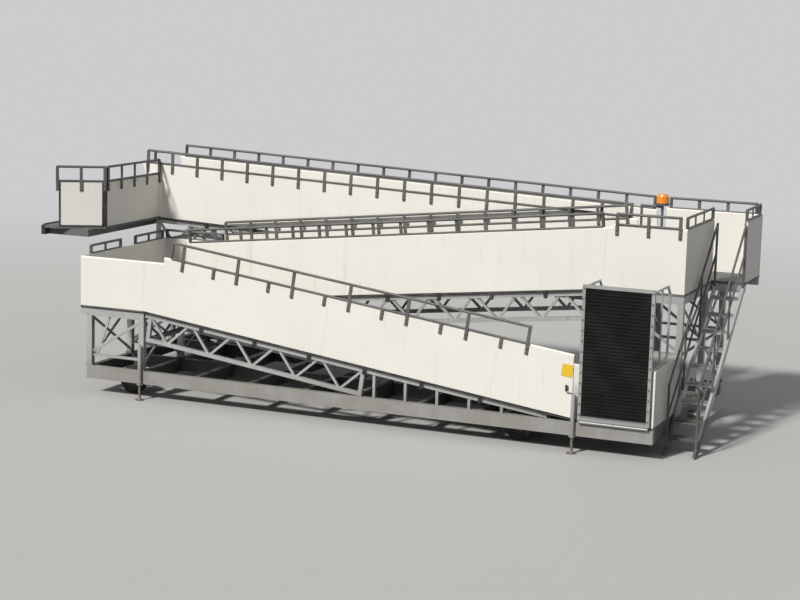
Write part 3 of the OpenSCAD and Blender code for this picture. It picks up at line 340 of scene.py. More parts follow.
def dome():
    finish = Finish("amber_lens")
    cloud = finish.noise(9.0, detail=3.0)
    finish.set("Base Color", finish.blend(cloud, (0.82, 0.23, 0.010, 1), (0.95, 0.36, 0.030, 1)))
    finish.set("Roughness", 0.16 + cloud * 0.12)
    finish.set("Coat Weight", 0.6)
    finish.set("Coat Roughness", 0.08)
    finish.bump(finish.noise(60.0, detail=2.0), 0.0003, 0.4)
    return finish.material


FLAP_FRAME, FLAP_FOOT = 0.046, 0.115


def ribbed_flap(low, high):
    finish = Finish("flap_black")
    cloud = finish.noise(3.0, detail=5.0)
    fine = finish.noise(70.0, detail=3.0)
    side = (finish.axis("X") < low.x + FLAP_FRAME) + (finish.axis("X") > high.x - FLAP_FRAME)
    end = (finish.axis("Z") > high.z - FLAP_FRAME) + (finish.axis("Z") < low.z + FLAP_FOOT)
    frame_mask = (side + end) > 0.5
    rib = finish.blend(cloud.fade(0.35, 0.72), (0.005, 0.006, 0.005, 1), (0.015, 0.016, 0.015, 1))
    rib = finish.blend(fine.fade(0.62, 0.72) * 0.2, rib, ROAD_DUST)
    bare = finish.blend(cloud, (0.30, 0.31, 0.31, 1), (0.44, 0.45, 0.45, 1))
    finish.set("Base Color", finish.blend(frame_mask, rib, bare))
    finish.set("Metallic", frame_mask * 0.5)
    finish.set("Specular IOR Level", 0.22)
    finish.set("Roughness", 0.74 - frame_mask * 0.28 + cloud * 0.12)
    finish.bump(fine + cloud, 0.0005, 0.5)
    return finish.material


flap_low, flap_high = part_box("entry_flap")
FINISHES["tyre"] = rubber("tyre", dust=0.42)
FINISHES["bumper_rubber"] = rubber("bumper_rubber", dust=0.18)
FINISHES["ram_chrome"] = chrome()
FINISHES["amber_lens"] = dome()
FINISHES["flap_black"] = ribbed_flap(flap_low, flap_high)

for part in frame["record"]["subparts"]:
    mesh = nodes[part["node"]].data
    mesh.materials.clear()
    mesh.materials.append(FINISHES[part["material_slot"]])

# %% [markdown]
# Small fittings repeat by the hundred, so each kind is one Geometry Nodes tree. A mesh of bare points
# goes in, every point with the way it faces; the tree stands one fitting on each and turns the lot
# into a plain mesh. A new row of bolts is then a list of places, and a new size is one number.

# %% Patterns that repeat a fitting
class Pattern:
    """A Geometry Nodes tree with named sizes; the last node sets the finish."""

    def __init__(self, name, sizes):
        self.tree = bpy.data.node_groups.new(name, "GeometryNodeTree")
        face = self.tree.interface
        face.new_socket("Points", in_out="INPUT", socket_type="NodeSocketGeometry")
        self.keys = {}
        for size, kind in sizes.items():
            socket = face.new_socket(size, in_out="INPUT", socket_type=kind)
            self.keys[size] = socket.identifier
        self.keys["Finish"] = face.new_socket(
            "Finish", in_out="INPUT", socket_type="NodeSocketMaterial").identifier
        face.new_socket("Fittings", in_out="OUTPUT", socket_type="NodeSocketGeometry")
        self.given = self.tree.nodes.new("NodeGroupInput")
        self.points = self.given.outputs["Points"]

    def size(self, name):
        return self.given.outputs[name]

    def node(self, kind, settings=None, inputs=None, out=0):
        made = self.tree.nodes.new(kind)
        for key, value in (settings or {}).items():
            setattr(made, key, value)
        for key, value in (inputs or {}).items():
            if isinstance(value, bpy.types.NodeSocket):
                self.tree.links.new(value, made.inputs[key])
            else:
                made.inputs[key].default_value = value
        return made.outputs[out]

    def joined(self, *parts):
        join = self.tree.nodes.new("GeometryNodeJoinGeometry")
        for part in reversed(parts):
            self.tree.links.new(part, join.inputs[0])
        return join.outputs[0]

    def lifted(self, part, height):
        raised = self.node("ShaderNodeCombineXYZ", inputs={"Z": height})
        return self.node("GeometryNodeTransform", inputs={"Geometry": part, "Translation": raised})

    def share(self, value, part):
        return self.node("ShaderNodeMath", {"operation": "MULTIPLY"}, {0: value, 1: part})

    def total(self, first, second):
        return self.node("ShaderNodeMath", {"operation": "ADD"}, {0: first, 1: second})

    def rod(self, sides, radius, height):
        inputs = {"Vertices": sides, "Radius": radius, "Depth": height}
        return self.node("GeometryNodeMeshCylinder", inputs=inputs)

    def attribute(self, name):
        kind = {"data_type": "FLOAT_VECTOR"}
        return self.node("GeometryNodeInputNamedAttribute", kind, {"Name": name})

    def stand_on_points(self, fitting):
        axes = {"Primary Axis": self.attribute("facing"), "Secondary Axis": self.attribute("along")}
        kinds = {"primary_axis": "Z", "secondary_axis": "X"}
        turn = self.node("FunctionNodeAxesToRotation", kinds, axes)
        inputs = {"Points": self.points, "Instance": fitting, "Rotation": turn}
        self.close(self.node("GeometryNodeInstanceOnPoints", inputs=inputs))

    def close(self, geometry):
        real = self.node("GeometryNodeRealizeInstances", inputs={"Geometry": geometry})
        inputs = {"Geometry": real, "Material": self.size("Finish")}
        done = self.node("GeometryNodeSetMaterial", inputs=inputs)
        result = self.tree.nodes.new("NodeGroupOutput")
        self.tree.links.new(done, result.inputs["Fittings"])

    def make(self, name, body, slot, mesh, finish=None, **sizes):
        """The pattern run on mesh, as a plain piece that rides on body."""
        carrier = bpy.data.objects.new(name, mesh)
        scene.collection.objects.link(carrier)
        live = carrier.modifiers.new(name, "NODES")
        live.node_group = self.tree
        for size, value in sizes.items():
            live[self.keys[size]] = value
        live[self.keys["Finish"]] = finish or FINISHES[slot]
        ready = carrier.evaluated_get(bpy.context.evaluated_depsgraph_get())
        plain = bpy.data.meshes.new_from_object(ready)
        carrier.modifiers.remove(live)
        carrier.data = plain
        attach(carrier, body)
        return carrier


def points_mesh(name, places):
    """A mesh of bare points from (position, facing, along) rows."""
    mesh = bpy.data.meshes.new(name)
    mesh.from_pydata([place for place, _, _ in places], [], [])
    for key, column in (("facing", 1), ("along", 2)):
        values = mesh.attributes.new(key, "FLOAT_VECTOR", "POINT").data
        values.foreach_set("vector", [c for row in places for c in row[column]])
    return mesh


X, Y, Z = Vector((1, 0, 0)), Vector((0, 1, 0)), Vector((0, 0, 1))
print("patterns: points carry where they stand, face and run")

# %% [markdown]
# Four fittings cover the machine: a hexagon bolt on its washer, a domed rivet, a plain block for
# treads, nosings and grips, and a strip that follows a path. The strip is the folded trim of sheet
# work: a rectangle swept along an edge, with its ends closed.

# %% Bolt, rivet, block and strip
FLOAT, VECTOR = "NodeSocketFloat", "NodeSocketVector"

bolts = Pattern("bolts", {"Width": FLOAT, "Height": FLOAT})
head_w, head_h = bolts.size("Width"), bolts.size("Height")
washer_t = bolts.share(head_h, 0.3)
washer = bolts.rod(12, bolts.share(head_w, 0.95), washer_t)
head = bolts.rod(6, bolts.share(head_w, 0.5), head_h)
head_rise = bolts.total(washer_t, bolts.share(head_h, 0.5))
bolts.stand_on_points(bolts.joined(
    bolts.lifted(washer, bolts.share(washer_t, 0.5)), bolts.lifted(head, head_rise)))

rivets = Pattern("rivets", {"Width": FLOAT})
rivet_r = rivets.share(rivets.size("Width"), 0.5)
rivet_h = rivets.share(rivets.size("Width"), 0.28)
crown = rivets.share(rivet_r, 0.45)
rivets.stand_on_points(rivets.node("GeometryNodeMeshCone", inputs={
    "Vertices": 8, "Radius Top": crown, "Radius Bottom": rivet_r, "Depth": rivet_h}))

blocks = Pattern("blocks", {"Size": VECTOR})
blocks.stand_on_points(blocks.node("GeometryNodeMeshCube", inputs={"Size": blocks.size("Size")}))

strips = Pattern("strips", {"Width": FLOAT, "Thickness": FLOAT})
path = strips.node("GeometryNodeMeshToCurve", inputs={"Mesh": strips.points})
path = strips.node("GeometryNodeSetCurveNormal", {"mode": "Z_UP"}, {"Curve": path})
section = strips.node("GeometryNodeCurvePrimitiveQuadrilateral", {"mode": "RECTANGLE"},
                      {"Width": strips.size("Thickness"), "Height": strips.size("Width")})
strips.close(strips.node("GeometryNodeCurveToMesh",
                         inputs={"Curve": path, "Profile Curve": section, "Fill Caps": True}))


def path_mesh(name, runs):
    """A mesh of open polylines, one for each run of points."""
    points, edges = [], []
    for run in runs:
        first = len(points)
        points += run
        edges += [(i, i + 1) for i in range(first, len(points) - 1)]
    mesh = bpy.data.meshes.new(name)
    mesh.from_pydata(points, edges, [])
    return mesh


print("fittings: bolts, rivets, blocks, strips")

# %% [markdown]
# Every guard on the machine is the same idea: a white panel with a tube rail bolted above it. So one
# table lists them all, each with its corner, the way it runs, the way is up along it and the way it
# faces. Caps, seals, rivets and bolts then come from one loop over that table. Lengths are metres
# from the ramp's own front left corner, as on its drawing, and at() moves them to the frame.

# %% The table of guards
MIDDLE = Vector((4.175, 2.0, 0.0))
LANE_PITCH, LANE_WIDTH = 1.350, 1.300
CHASSIS_TOP, ENTRY_TOP, ONE_TOP, TWO_TOP, PLATFORM_TOP = 0.450, 0.490, 1.400, 2.180, 2.520
ONE_LEFT, ONE_RIGHT, TWO_LEFT = -0.160, 0.970, 8.000
PANEL_T, POST_T, RAIL_D = 0.030, 0.016, 0.040
POST_PITCH, SHORT_SHIFT, SEAM_PITCH = 0.460, 0.070, 2.700


def at(x, y, z):
    return Vector((x, y, z)) - MIDDLE


class Guard:
    """A white panel with its rails, in its own along, up and out directions."""

    def __init__(self, body, corner, along, up, out, panel, rails, height,
                 leans=(0.0, 0.0), inside=False, bare=0.0, group=1):
        self.body, self.corner = body, corner
        self.along, self.up, self.out = along.normalized(), up.normalized(), out.normalized()
        self.panel, self.rails, self.height, self.leans = panel, rails, height, leans
        self.bare, self.group = bare, group
        self.post_face = -(PANEL_T + POST_T) if inside else POST_T
        self.post_out = -self.out if inside else self.out

    def place(self, along, up, out):
        return self.corner + self.along * along + self.up * up + self.out * out

    def edge(self, share):
        """Where the panel starts and ends at a share of its height."""
        return tuple(x + lean * share for x, lean in zip(self.panel, self.leans))

    def seams(self):
        first, last = self.panel
        count = int((last - SEAM_PITCH / 3 - first) / SEAM_PITCH)
        return [first + SEAM_PITCH * (i + 1) for i in range(count)]

    def posts(self):
        """Where rail posts stand: at both ends and evenly between, with the short ones shifted."""
        places = []
        for start, end in self.rails:
            first, last = start + self.bare + RAIL_D / 2, end - RAIL_D / 2
            bays = self.group * max(1, round((last - first) / (self.group * POST_PITCH)))
            for i in range(bays + 1):
                shift = SHORT_SHIFT if i % self.group else 0.0
                places.append(first + i * (last - first) / bays + shift)
        return places


FLIGHTS = {
    # name: body, left end's x and z, right end's x and z, lane
    "one": ("chassis", (ONE_RIGHT, ONE_TOP), (TWO_LEFT, ENTRY_TOP), 0),
    "two": ("chassis", (ONE_RIGHT, ONE_TOP), (TWO_LEFT, TWO_TOP), 1),
    "three": ("upper_flight", (-0.410, 2.506), (TWO_LEFT, TWO_TOP), 2),
}
SLOPED = (
    # flight, far side, panel's end set-backs, height, leans or None for plumb, rail's end set-backs,
    # bare length before the first post, posts in a group, posts inside
    ("one", False, (0.353, 0.090), 0.880, None, (0.353, 0.880), 0.200, 2, False),
    ("one", True, (0.0, 0.090), 0.450, None, None, 0.0, 1, False),
    ("two", False, (0.0, 0.0), 0.880, None, (0.120, 0.040), 0.0, 1, True),
    ("two", True, (0.0, 0.0), 0.880, None, (0.120, 0.040), 0.0, 1, True),
    ("three", False, (0.0, 0.012), 0.880, (-0.264, -0.100), (-0.184, 0.140), 0.0, 1, False),
    ("three", True, (0.0, 0.012), 0.880, (-0.264, -0.100), (-0.184, 0.140), 0.0, 1, False),
)


def flight_frame(name):
    """A flight's left end, its direction down the slope, and its length."""
    body, left, right, lane = FLIGHTS[name]
    run = Vector((right[0] - left[0], 0.0, right[1] - left[1]))
    return at(left[0], lane * LANE_PITCH, left[1]), run.normalized(), run.length


guards = []
for name, far, panel_in, height, leans, rail_in, bare, group, inside in SLOPED:
    corner, along, length = flight_frame(name)
    plumb = height * along.z / along.x
    rails = [] if rail_in is None else [(rail_in[0], length - rail_in[1])]
    guards.append(Guard(
        FLIGHTS[name][0], corner + Y * LANE_WIDTH * far, along, along.cross(Y), Y if far else -Y,
        (panel_in[0], length - panel_in[1]), rails, height,
        leans or (plumb, plumb), inside, bare, group))

LANDINGS = (
    # body, corner, along, out, panel ends, rails' ends, panel height, posts inside
    ("chassis", (ONE_LEFT, 0.0, ONE_TOP), X, -Y, (0.0, 1.480), [], 0.750, False),
    ("chassis", (ONE_LEFT, 2.650, ONE_TOP), X, Y, (0.0, 1.130), [(0.0, 1.090)], 0.750, False),
    ("chassis", (ONE_LEFT, 2.620, ONE_TOP), -Y, -X, (0.0, 2.590),
     [(0.070, 0.990), (1.420, 2.340)], 0.750, False),
    ("chassis", (TWO_LEFT, 1.350, TWO_TOP), X, -Y, (0.0, 1.100), [(0.040, 1.020)], 0.920, False),
    ("chassis", (9.100, 1.350, TWO_TOP), Y, X, (0.030, 1.610), [(0.080, 1.610)], 0.920, True),
    ("chassis", (TWO_LEFT, 4.000, TWO_TOP), X, Y, (0.080, 1.600), [(0.120, 1.520)], 0.920, False),
    ("chassis", (9.600, 3.000, TWO_TOP), Y, X, (0.0, 0.970), [(0.0, 0.920)], 0.920, True),
    ("top_platform", (-0.970, 0.560, PLATFORM_TOP), Vector((0.670, 0.410, 0.0)),
     Vector((0.410, -0.670, 0.0)), (0.040, 0.745), [(0.0, 0.785)], 0.700, False),
    ("top_platform", (-0.300, 1.010, PLATFORM_TOP), Y, X, (0.0, 1.660), [(0.0, 1.660)], 0.700, False),
    ("top_platform", (-1.180, 4.000, PLATFORM_TOP), X, Y, (0.040, 0.386), [(0.0, 0.386)], 0.700, False),
)
for body, corner, along, out, panel, rails, height, inside in LANDINGS:
    guards.append(Guard(body, at(*corner), along, Z, out, panel, rails, height, inside=inside))
print("guards:", len(guards), "with", sum(len(g.posts()) for g in guards), "rail posts")

# %% [markdown]
# A sheet guard is cut raw, so its top edge is capped with a folded channel. Under its foot runs a black
# strip that paints the shade of the gap beneath each white panel as a dark line. Both follow an edge,
# so both are strips, one object for each body and kind. The platform's skew panel stands on the deck,
# and black strips at its foot, at both ends and in its corner paint the shade there.

# %% Caps and painted shade lines
BODIES = ("chassis", "upper_flight", "top_platform")
CAP_W, CAP_T, CAP_OVER = 0.038, 0.010, 0.008
# black strips that paint the shade under a panel's foot, at the skew panel's foot and ends, and in its
# corner
SHADE_LINE_W, SHADE_LINE_H = 0.018, 0.050
SKEW_SHADE_W, SKEW_SHADE_T = 0.024, 0.010
CORNER_AT, CORNER_SHADE_X, CORNER_SHADE_Y = (-0.322, 0.978), 0.034, 0.050
# the chassis' guards with a painted shade line under their foot come first in the table, and one of
# them is the first landing's near panel, whose foot turns down with the flight for a short way
SHADE_LINED, BENT, BENT_TAIL = 6, 4, 0.345

for body in BODIES:
    own = [g for g in guards if g.body == body]
    caps, shade_lines = [], []
    for g in own:
        (low_0, low_1), (top_0, top_1) = g.edge(0.0), g.edge(1.0)
        caps.append([g.place(end, g.height + CAP_T / 2, -(PANEL_T + CAP_OVER) / 2)
                     for end in (top_0, top_1)])
        shade_lines.append([g.place(end, -SHADE_LINE_H / 2 - 0.001, -SHADE_LINE_W / 2 - 0.002)
                      for end in (low_0 + 0.01, low_1 - 0.01)])
    strips.make(f"panel_caps_{body}", body, "white_panel", path_mesh("caps", caps),
                Width=CAP_W, Thickness=CAP_T)
    if body != "top_platform":
        if body == "chassis":
            bend = at(ONE_RIGHT, 0.0, ONE_TOP) + Z * (-SHADE_LINE_H / 2 - 0.001) + Y * (SHADE_LINE_W / 2 + 0.002)
            shade_lines[BENT] = [shade_lines[BENT][0], bend, bend + flight_frame("one")[1] * BENT_TAIL]
            shade_lines = shade_lines[:SHADE_LINED]
        # painted shade: the dark line under each white panel
        strips.make(f"foot_shade_lines_{body}", body, "bumper_rubber", path_mesh("shade_lines", shade_lines),
                    Width=SHADE_LINE_W, Thickness=SHADE_LINE_H)
    else:
        skew = own[0]
        # painted shade at the skew panel's foot, at its ends and in its corner
        foot = [[skew.place(end, SKEW_SHADE_W / 2, SKEW_SHADE_T / 2) for end in skew.panel]]
        strips.make("skew_foot_shade", body, "bumper_rubber", path_mesh("foot", foot),
                    Width=SKEW_SHADE_T, Thickness=SKEW_SHADE_W)
        ends = [(skew.place(end, skew.height / 2, SKEW_SHADE_T / 2), skew.out, skew.along)
                for end in (skew.panel[0] + SKEW_SHADE_W / 2, skew.panel[1] - SKEW_SHADE_W / 2)]
        blocks.make("skew_end_shade", body, "bumper_rubber", points_mesh("ends", ends),
                    Size=(SKEW_SHADE_W, skew.height, SKEW_SHADE_T))
        corner = [(at(*CORNER_AT, PLATFORM_TOP) + Z * skew.height / 2, X, Y)]
        blocks.make("platform_corner_shade", body, "bumper_rubber", points_mesh("corner", corner),
                    Size=(CORNER_SHADE_Y, skew.height, CORNER_SHADE_X))

# %% [markdown]
# Blind rivets hold the sheet along its foot, its head and each seam. They are a centimetre across,
# about half a pixel from the balcony, where a row of them reads as the faint line in the photograph.
# Each rail post carries two bolts, which is what a fitter would count first.

# %% Rivets and rail bolts
RIVET_W, RIVET_PITCH, EDGE_IN = 0.012, 0.165, 0.034
BOLT_W, BOLT_H = 0.022, 0.012

for body in BODIES:
    rows, fixings = [], []
    for g in (g for g in guards if g.body == body):
        outermost = g.place(0.0, 0.0, RIVET_W).x > cad_box[1][0]
        face, facing = (-PANEL_T - 0.0015, -g.out) if outermost else (0.0015, g.out)
        for share, up in ((EDGE_IN / g.height, EDGE_IN), (1 - EDGE_IN / g.height, g.height - EDGE_IN)):
            first, last = g.edge(share)
            count = max(1, int((last - first - 2 * EDGE_IN) / RIVET_PITCH))
            step = (last - first - 2 * EDGE_IN) / count
            rows += [(g.place(first + EDGE_IN + i * step, up, face), facing, g.along)
                     for i in range(count + 1)]
        for seam in g.seams():
            for side in (-0.022, 0.030):
                rows += [(g.place(seam + side, EDGE_IN + 0.11 * i, face), facing, g.along)
                         for i in range(1, 7)]
        for post in g.posts():
            for drop in (0.035, 0.100):
                fixings.append((g.place(post, g.height - drop, g.post_face), g.post_out, g.along))
    rivets.make(f"rivets_{body}", body, "white_panel", points_mesh("rivets", rows), Width=RIVET_W)
    bolts.make(f"rail_bolts_{body}", body, "jack_steel", points_mesh("bolts", fixings),
               Width=BOLT_W, Height=BOLT_H)
    print(body, len(rows), "rivets,", len(fixings), "bolts")

# %% [markdown]
# Under each flight's panels, brackets stand on the pale folded edge of the deck, and their faces lie in
# shade. A black block on each bracket's face paints that shade as the dark marks across the edge. The
# blocks are spread by the rule that spreads the brackets.

# %% Painted shade on the brackets
CHORD, START_IN, DROP, MEMBER_PITCH = 0.060, 0.020, 0.100, 0.920
# black blocks that paint the shade on the brackets' faces
SHADE_BLOCK = (0.048, 0.115, 0.020)
SHADE_BLOCK_ALONG, SHADE_BLOCK_DOWN, SHADE_BLOCK_OUT = 0.0225, 0.0660, 0.0095
CARRIERS = (
    # flight, set-back of the chord's left end, set-back of its right end from the flight's length
    ("one", START_IN, None), ("two", START_IN, 0.060), ("three", 0.0, 0.040),
)
shade_blocks = {"chassis": [], "upper_flight": []}
for name, left_in, right_in in CARRIERS:
    start, along, length = flight_frame(name)
    up = along.cross(Y)
    if right_in is None:
        last = (ONE_TOP - DROP * along.x - CHASSIS_TOP) / -along.z
    else:
        last = length - right_in
    members = max(1, round((last - left_in) / MEMBER_PITCH))
    for i in range(1, members):
        place = left_in + CHORD + i * (last - left_in - 3 * CHORD) / members
        for far, out in ((0.0, -Y), (LANE_WIDTH, Y)):
            spot = start + Y * far + out * SHADE_BLOCK_OUT + along * (place + SHADE_BLOCK_ALONG) - up * SHADE_BLOCK_DOWN
            shade_blocks[FLIGHTS[name][0]].append((spot, out, along))
for body, places in shade_blocks.items():
    blocks.make(f"bracket_shade_blocks_{body}", body, "bumper_rubber", points_mesh("shade_blocks", places), Size=SHADE_BLOCK)
print("bracket pads:", sum(len(places) for places in shade_blocks.values()))

# %% [markdown]
# The wheels are small solid tyres under the long beams. Their moulded lugs and sidewall ridge are
# real geometry, because a tyre's outline is what the eye checks. A ring of points round each axle
# carries the lugs, and six wheel nuts hold each disc.

# %% Wheels
WHEEL_R, LUG_COUNT = 0.220, 40
LUG, LUG_R, LUG_OUT = (0.020, 0.013, 0.007), 0.2085, 0.0615
RIDGE_R, RIDGE_OUT, NUT_R, NUT_OUT = 0.152, 0.0705, 0.066, 0.0245
WHEELS = (
    # number, x, y, outward, body it turns with
    (1, 0.560, 0.420, -1), (2, 0.560, 3.580, 1), (3, 7.000, 0.420, -1), (4, 7.000, 3.580, 1),
)


def round_axle(centre, radius, offset, count, start=0.0):
    """Points of a circle about the wheel's axle, with the way each faces from the axle."""
    rows = []
    for i in range(count):
        angle = start + math.tau * i / count
        ray = Vector((math.cos(angle), 0.0, math.sin(angle)))
        rows.append((centre + ray * radius + Y * offset, ray))
    return rows


for number, x, y, side in WHEELS:
    centre = at(x, y, WHEEL_R)
    lugs = []
    for end in (-1, 1):
        for place, ray in round_axle(centre, LUG_R, end * LUG_OUT, LUG_COUNT, start=0.04 * end):
            facing = (ray + Y * end * 0.9).normalized()
            lugs.append((place, facing, facing.cross(ray.cross(Y))))
    blocks.make(f"tyre_lugs_{number}", f"wheel_{number}", "tyre", points_mesh("lugs", lugs), Size=LUG)
    ring = [place for place, _ in round_axle(centre, RIDGE_R, side * RIDGE_OUT, 36)]
    strips.make(f"sidewall_ridge_{number}", f"wheel_{number}", "tyre",
                path_mesh("ridge", [ring + ring[:1]]), Width=0.006, Thickness=0.006)
    nuts = [(place, Y * side, ray) for place, ray in round_axle(centre, NUT_R, side * NUT_OUT, 6)]
    bolts.make(f"wheel_nuts_{number}", f"wheel_{number}", "jack_steel", points_mesh("nuts", nuts),
               Width=0.020, Height=0.014)
print("wheels:", len(WHEELS), "with", 2 * LUG_COUNT, "lugs each")

# %% [markdown]
# Where a tower's post meets the chassis, a fitter sees a base plate and four bolts. The plates are
# blocks and the bolts stand on their corners. The jacks get the black grips of their handles and a
# collar round each sleeve's mouth.

# %% Base plates and jack fittings
PLATE, PLATE_BOLT_X, PLATE_BOLT_Y = (0.128, 0.088, 0.012), 0.055, 0.032
HANDLE_IN, HANDLE_Z, GRIP_RISE, GRIP_LENGTH = 0.110, 0.880, 0.004, 0.091
COLLAR_Z, COLLAR_R = 0.245, 0.036
POSTS = [(x, y) for x in (-0.005, 0.925) for y in (0.045, 1.255, 2.605)]
POSTS += [(x, y) for x in (8.045, 9.055) for y in (1.395, 2.745, 3.955)]

plates = [(at(x, y, CHASSIS_TOP + PLATE[2] / 2), Z, X) for x, y in POSTS]
blocks.make("base_plates", "chassis", "galvanised_steel", points_mesh("plates", plates),
            Size=PLATE)
corners = [(at(x + dx * PLATE_BOLT_X, y + dy * PLATE_BOLT_Y, CHASSIS_TOP + PLATE[2]), Z, X)
           for x, y in POSTS for dx in (-1, 1) for dy in (-1, 1)]
bolts.make("base_bolts", "chassis", "jack_steel", points_mesh("base_bolts", corners),
           Width=0.014, Height=0.010)

JACKS = [(x, y) for x in (0.925, 7.940) for y in (-0.034, 4.034)]
grips = [[at(x - HANDLE_IN, y, HANDLE_Z + rise) for rise in (GRIP_RISE, GRIP_RISE + GRIP_LENGTH)]
         for x, y in JACKS]
strips.make("jack_grips", "chassis", "bumper_rubber", path_mesh("grips", grips),
            Width=0.026, Thickness=0.026)


def flat_ring(centre, radius, count):
    """A closed polyline round an upright axis."""
    angles = (math.tau * i / count for i in range(count + 1))
    return [centre + Vector((math.cos(a), math.sin(a), 0.0)) * radius for a in angles]


collars = [flat_ring(at(x, y, COLLAR_Z), COLLAR_R, 24) for x, y in JACKS]
strips.make("jack_collars", "chassis", "galvanised_steel", path_mesh("collars", collars),
            Width=0.008, Thickness=0.024)
print("plates:", len(plates), "and jacks:", len(JACKS))

# %% [markdown]
# Treads and thresholds are walked on, so each tread has a gritted nosing and domes pressed in for
# grip, and a lapped plate covers each joint of a slope with a level deck. The flap's leaf is screwed
# to its frame.

# %% Nosings, thresholds and flap screws
STAIR_FOOT_Y, STAIR_HEAD_Y, TREADS = 0.450, 3.000, 9
STAIR_LEFT, STAIR_W, STRINGER_T = 9.130, 0.470, 0.040
DOMES_ACROSS, DOMES_DEEP, DOME_STEP_X, DOME_STEP_Y = 12, 4, 0.032, 0.045
SCREW_BAYS, SCREW_IN, SCREWS_FROM, SCREWS_SHORT = 12, 0.022, 0.13, 0.18

stair_mid = STAIR_LEFT + STAIR_W / 2
tread_step = (STAIR_HEAD_Y - STAIR_FOOT_Y) / (TREADS + 1)
nosings, domes = [], []
for i in range(1, TREADS + 1):
    y, z = STAIR_FOOT_Y + i * tread_step, TWO_TOP * i / (TREADS + 1)
    nosings.append((at(stair_mid, y + 0.016, z + 0.002), Z, X))
    domes += [(at(stair_mid + (k - (DOMES_ACROSS - 1) / 2) * DOME_STEP_X,
                  y + 0.060 + row * DOME_STEP_Y, z + 0.001), Z, X)
              for k in range(DOMES_ACROSS) for row in range(DOMES_DEEP)]
blocks.make("stair_nosings", "chassis", "deck_plate", points_mesh("nosings", nosings),
            Size=(STAIR_W - 2 * STRINGER_T, 0.030, 0.004))
rivets.make("tread_domes", "chassis", "galvanised_steel", points_mesh("domes", domes), Width=0.014)

thresholds = [(at(x, lane * LANE_PITCH + LANE_WIDTH / 2, z + 0.003), Z, Y) for x, lane, z in (
    (ONE_RIGHT, 0, ONE_TOP), (ONE_RIGHT, 1, ONE_TOP), (TWO_LEFT, 1, TWO_TOP), (TWO_LEFT, 0, ENTRY_TOP))]
blocks.make("thresholds", "chassis", "galvanised_steel", points_mesh("thresholds", thresholds),
            Size=(LANE_WIDTH - 0.10, 0.110, 0.005))
edge_bolts = [(row[0] + Y * across + X * side * 0.040 + Z * 0.002, Z, X)
              for row in thresholds for side in (-1, 1) for across in (-0.5, -0.25, 0.0, 0.25, 0.5)]
rivets.make("threshold_screws", "chassis", "jack_steel", points_mesh("screws", edge_bolts), Width=0.016)

flap_screws = []
for i in range(SCREW_BAYS + 1):
    z = flap_low.z + SCREWS_FROM + i * (flap_high.z - flap_low.z - SCREWS_SHORT) / SCREW_BAYS
    for x in (flap_low.x + SCREW_IN, flap_high.x - SCREW_IN):
        flap_screws.append((Vector((x, flap_low.y + 0.0005, z)), -Y, X))
bolts.make("flap_screws", "flap", "jack_steel", points_mesh("flap_screws", flap_screws),
           Width=0.018, Height=0.008)
print("domes:", len(domes), "flap screws:", len(flap_screws))

# %% [markdown]
# The beacon's dome is fluted so that it scatters light all round, and its foot is clamped by a steel
# band. The bumper is a rubber block held on by a screwed strip along its top. One yellow plate marks
# the first flight's low end, as the photograph shows; it is blank.

# %% Beacon, bumper and marker plate
FLUTE_COUNT, FLUTE_R, FLUTE_RISE = 28, 0.0895, 0.048
BAND_R, BAND_DROP = 0.101, 0.006
STRIP_IN, STRIP_T, STRIP_BOLT_COUNT = 0.035, 0.006, 17
MARKER_ALONG, MARKER_UP, MARKER = 6.826, 0.660, (0.165, 0.175, 0.006)

beacon_low, beacon_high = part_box("beacon_lens")
beacon_mid = (beacon_low + beacon_high) / 2
flute_mid = Vector((beacon_mid.x, beacon_mid.y, beacon_low.z + FLUTE_RISE))
flutes = []
for i in range(FLUTE_COUNT):
    angle = math.tau * i / FLUTE_COUNT
    ray = Vector((math.cos(angle), math.sin(angle), 0.0))
    flutes.append((flute_mid + ray * FLUTE_R, ray, Z))
blocks.make("beacon_flutes", "chassis", "amber_lens", points_mesh("flutes", flutes),
            Size=(0.086, 0.007, 0.006))
band = flat_ring(Vector((beacon_mid.x, beacon_mid.y, beacon_low.z - BAND_DROP)), BAND_R, 32)
strips.make("beacon_band", "chassis", "jack_steel", path_mesh("band", [band]),
            Width=0.005, Thickness=0.014)

bumper_low, bumper_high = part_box("bumper")
strip_x, strip_z = bumper_low.x + STRIP_IN, bumper_high.z + STRIP_T / 2
top_strip = [[Vector((strip_x, y, strip_z)) for y in (bumper_low.y + 0.02, bumper_high.y - 0.02)]]
strips.make("bumper_strip", "top_platform", "jack_steel", path_mesh("bumper_strip", top_strip),
            Width=0.040, Thickness=STRIP_T)
strip_bolts = [(Vector((strip_x, bumper_low.y + 0.1 + i * 0.2, bumper_high.z + STRIP_T)), Z, X)
               for i in range(STRIP_BOLT_COUNT)]
bolts.make("bumper_bolts", "top_platform", "jack_steel", points_mesh("bumper_bolts", strip_bolts),
           Width=0.016, Height=0.008)


def plain_paint(name, colour, worn):
    finish = Finish(name)
    wear = finish.noise(18.0, detail=5.0)
    finish.set("Base Color", finish.blend(wear.fade(0.55, 0.70) * 0.5, colour, worn))
    finish.set("Roughness", 0.40 + wear * 0.15)
    finish.bump(wear, 0.0003, 0.4)
    return finish.material


yellow = plain_paint("marker_yellow", (0.78, 0.52, 0.03, 1.0), (0.55, 0.45, 0.25, 1.0))
first = guards[0]
marker = [(first.place(MARKER_ALONG, MARKER_UP, MARKER[2] / 2), first.out, first.along)]
blocks.make("marker_plate", "chassis", "white_panel", points_mesh("marker", marker), finish=yellow,
            Size=MARKER)
print("beacon flutes:", len(flutes), "bumper bolts:", len(strip_bolts))

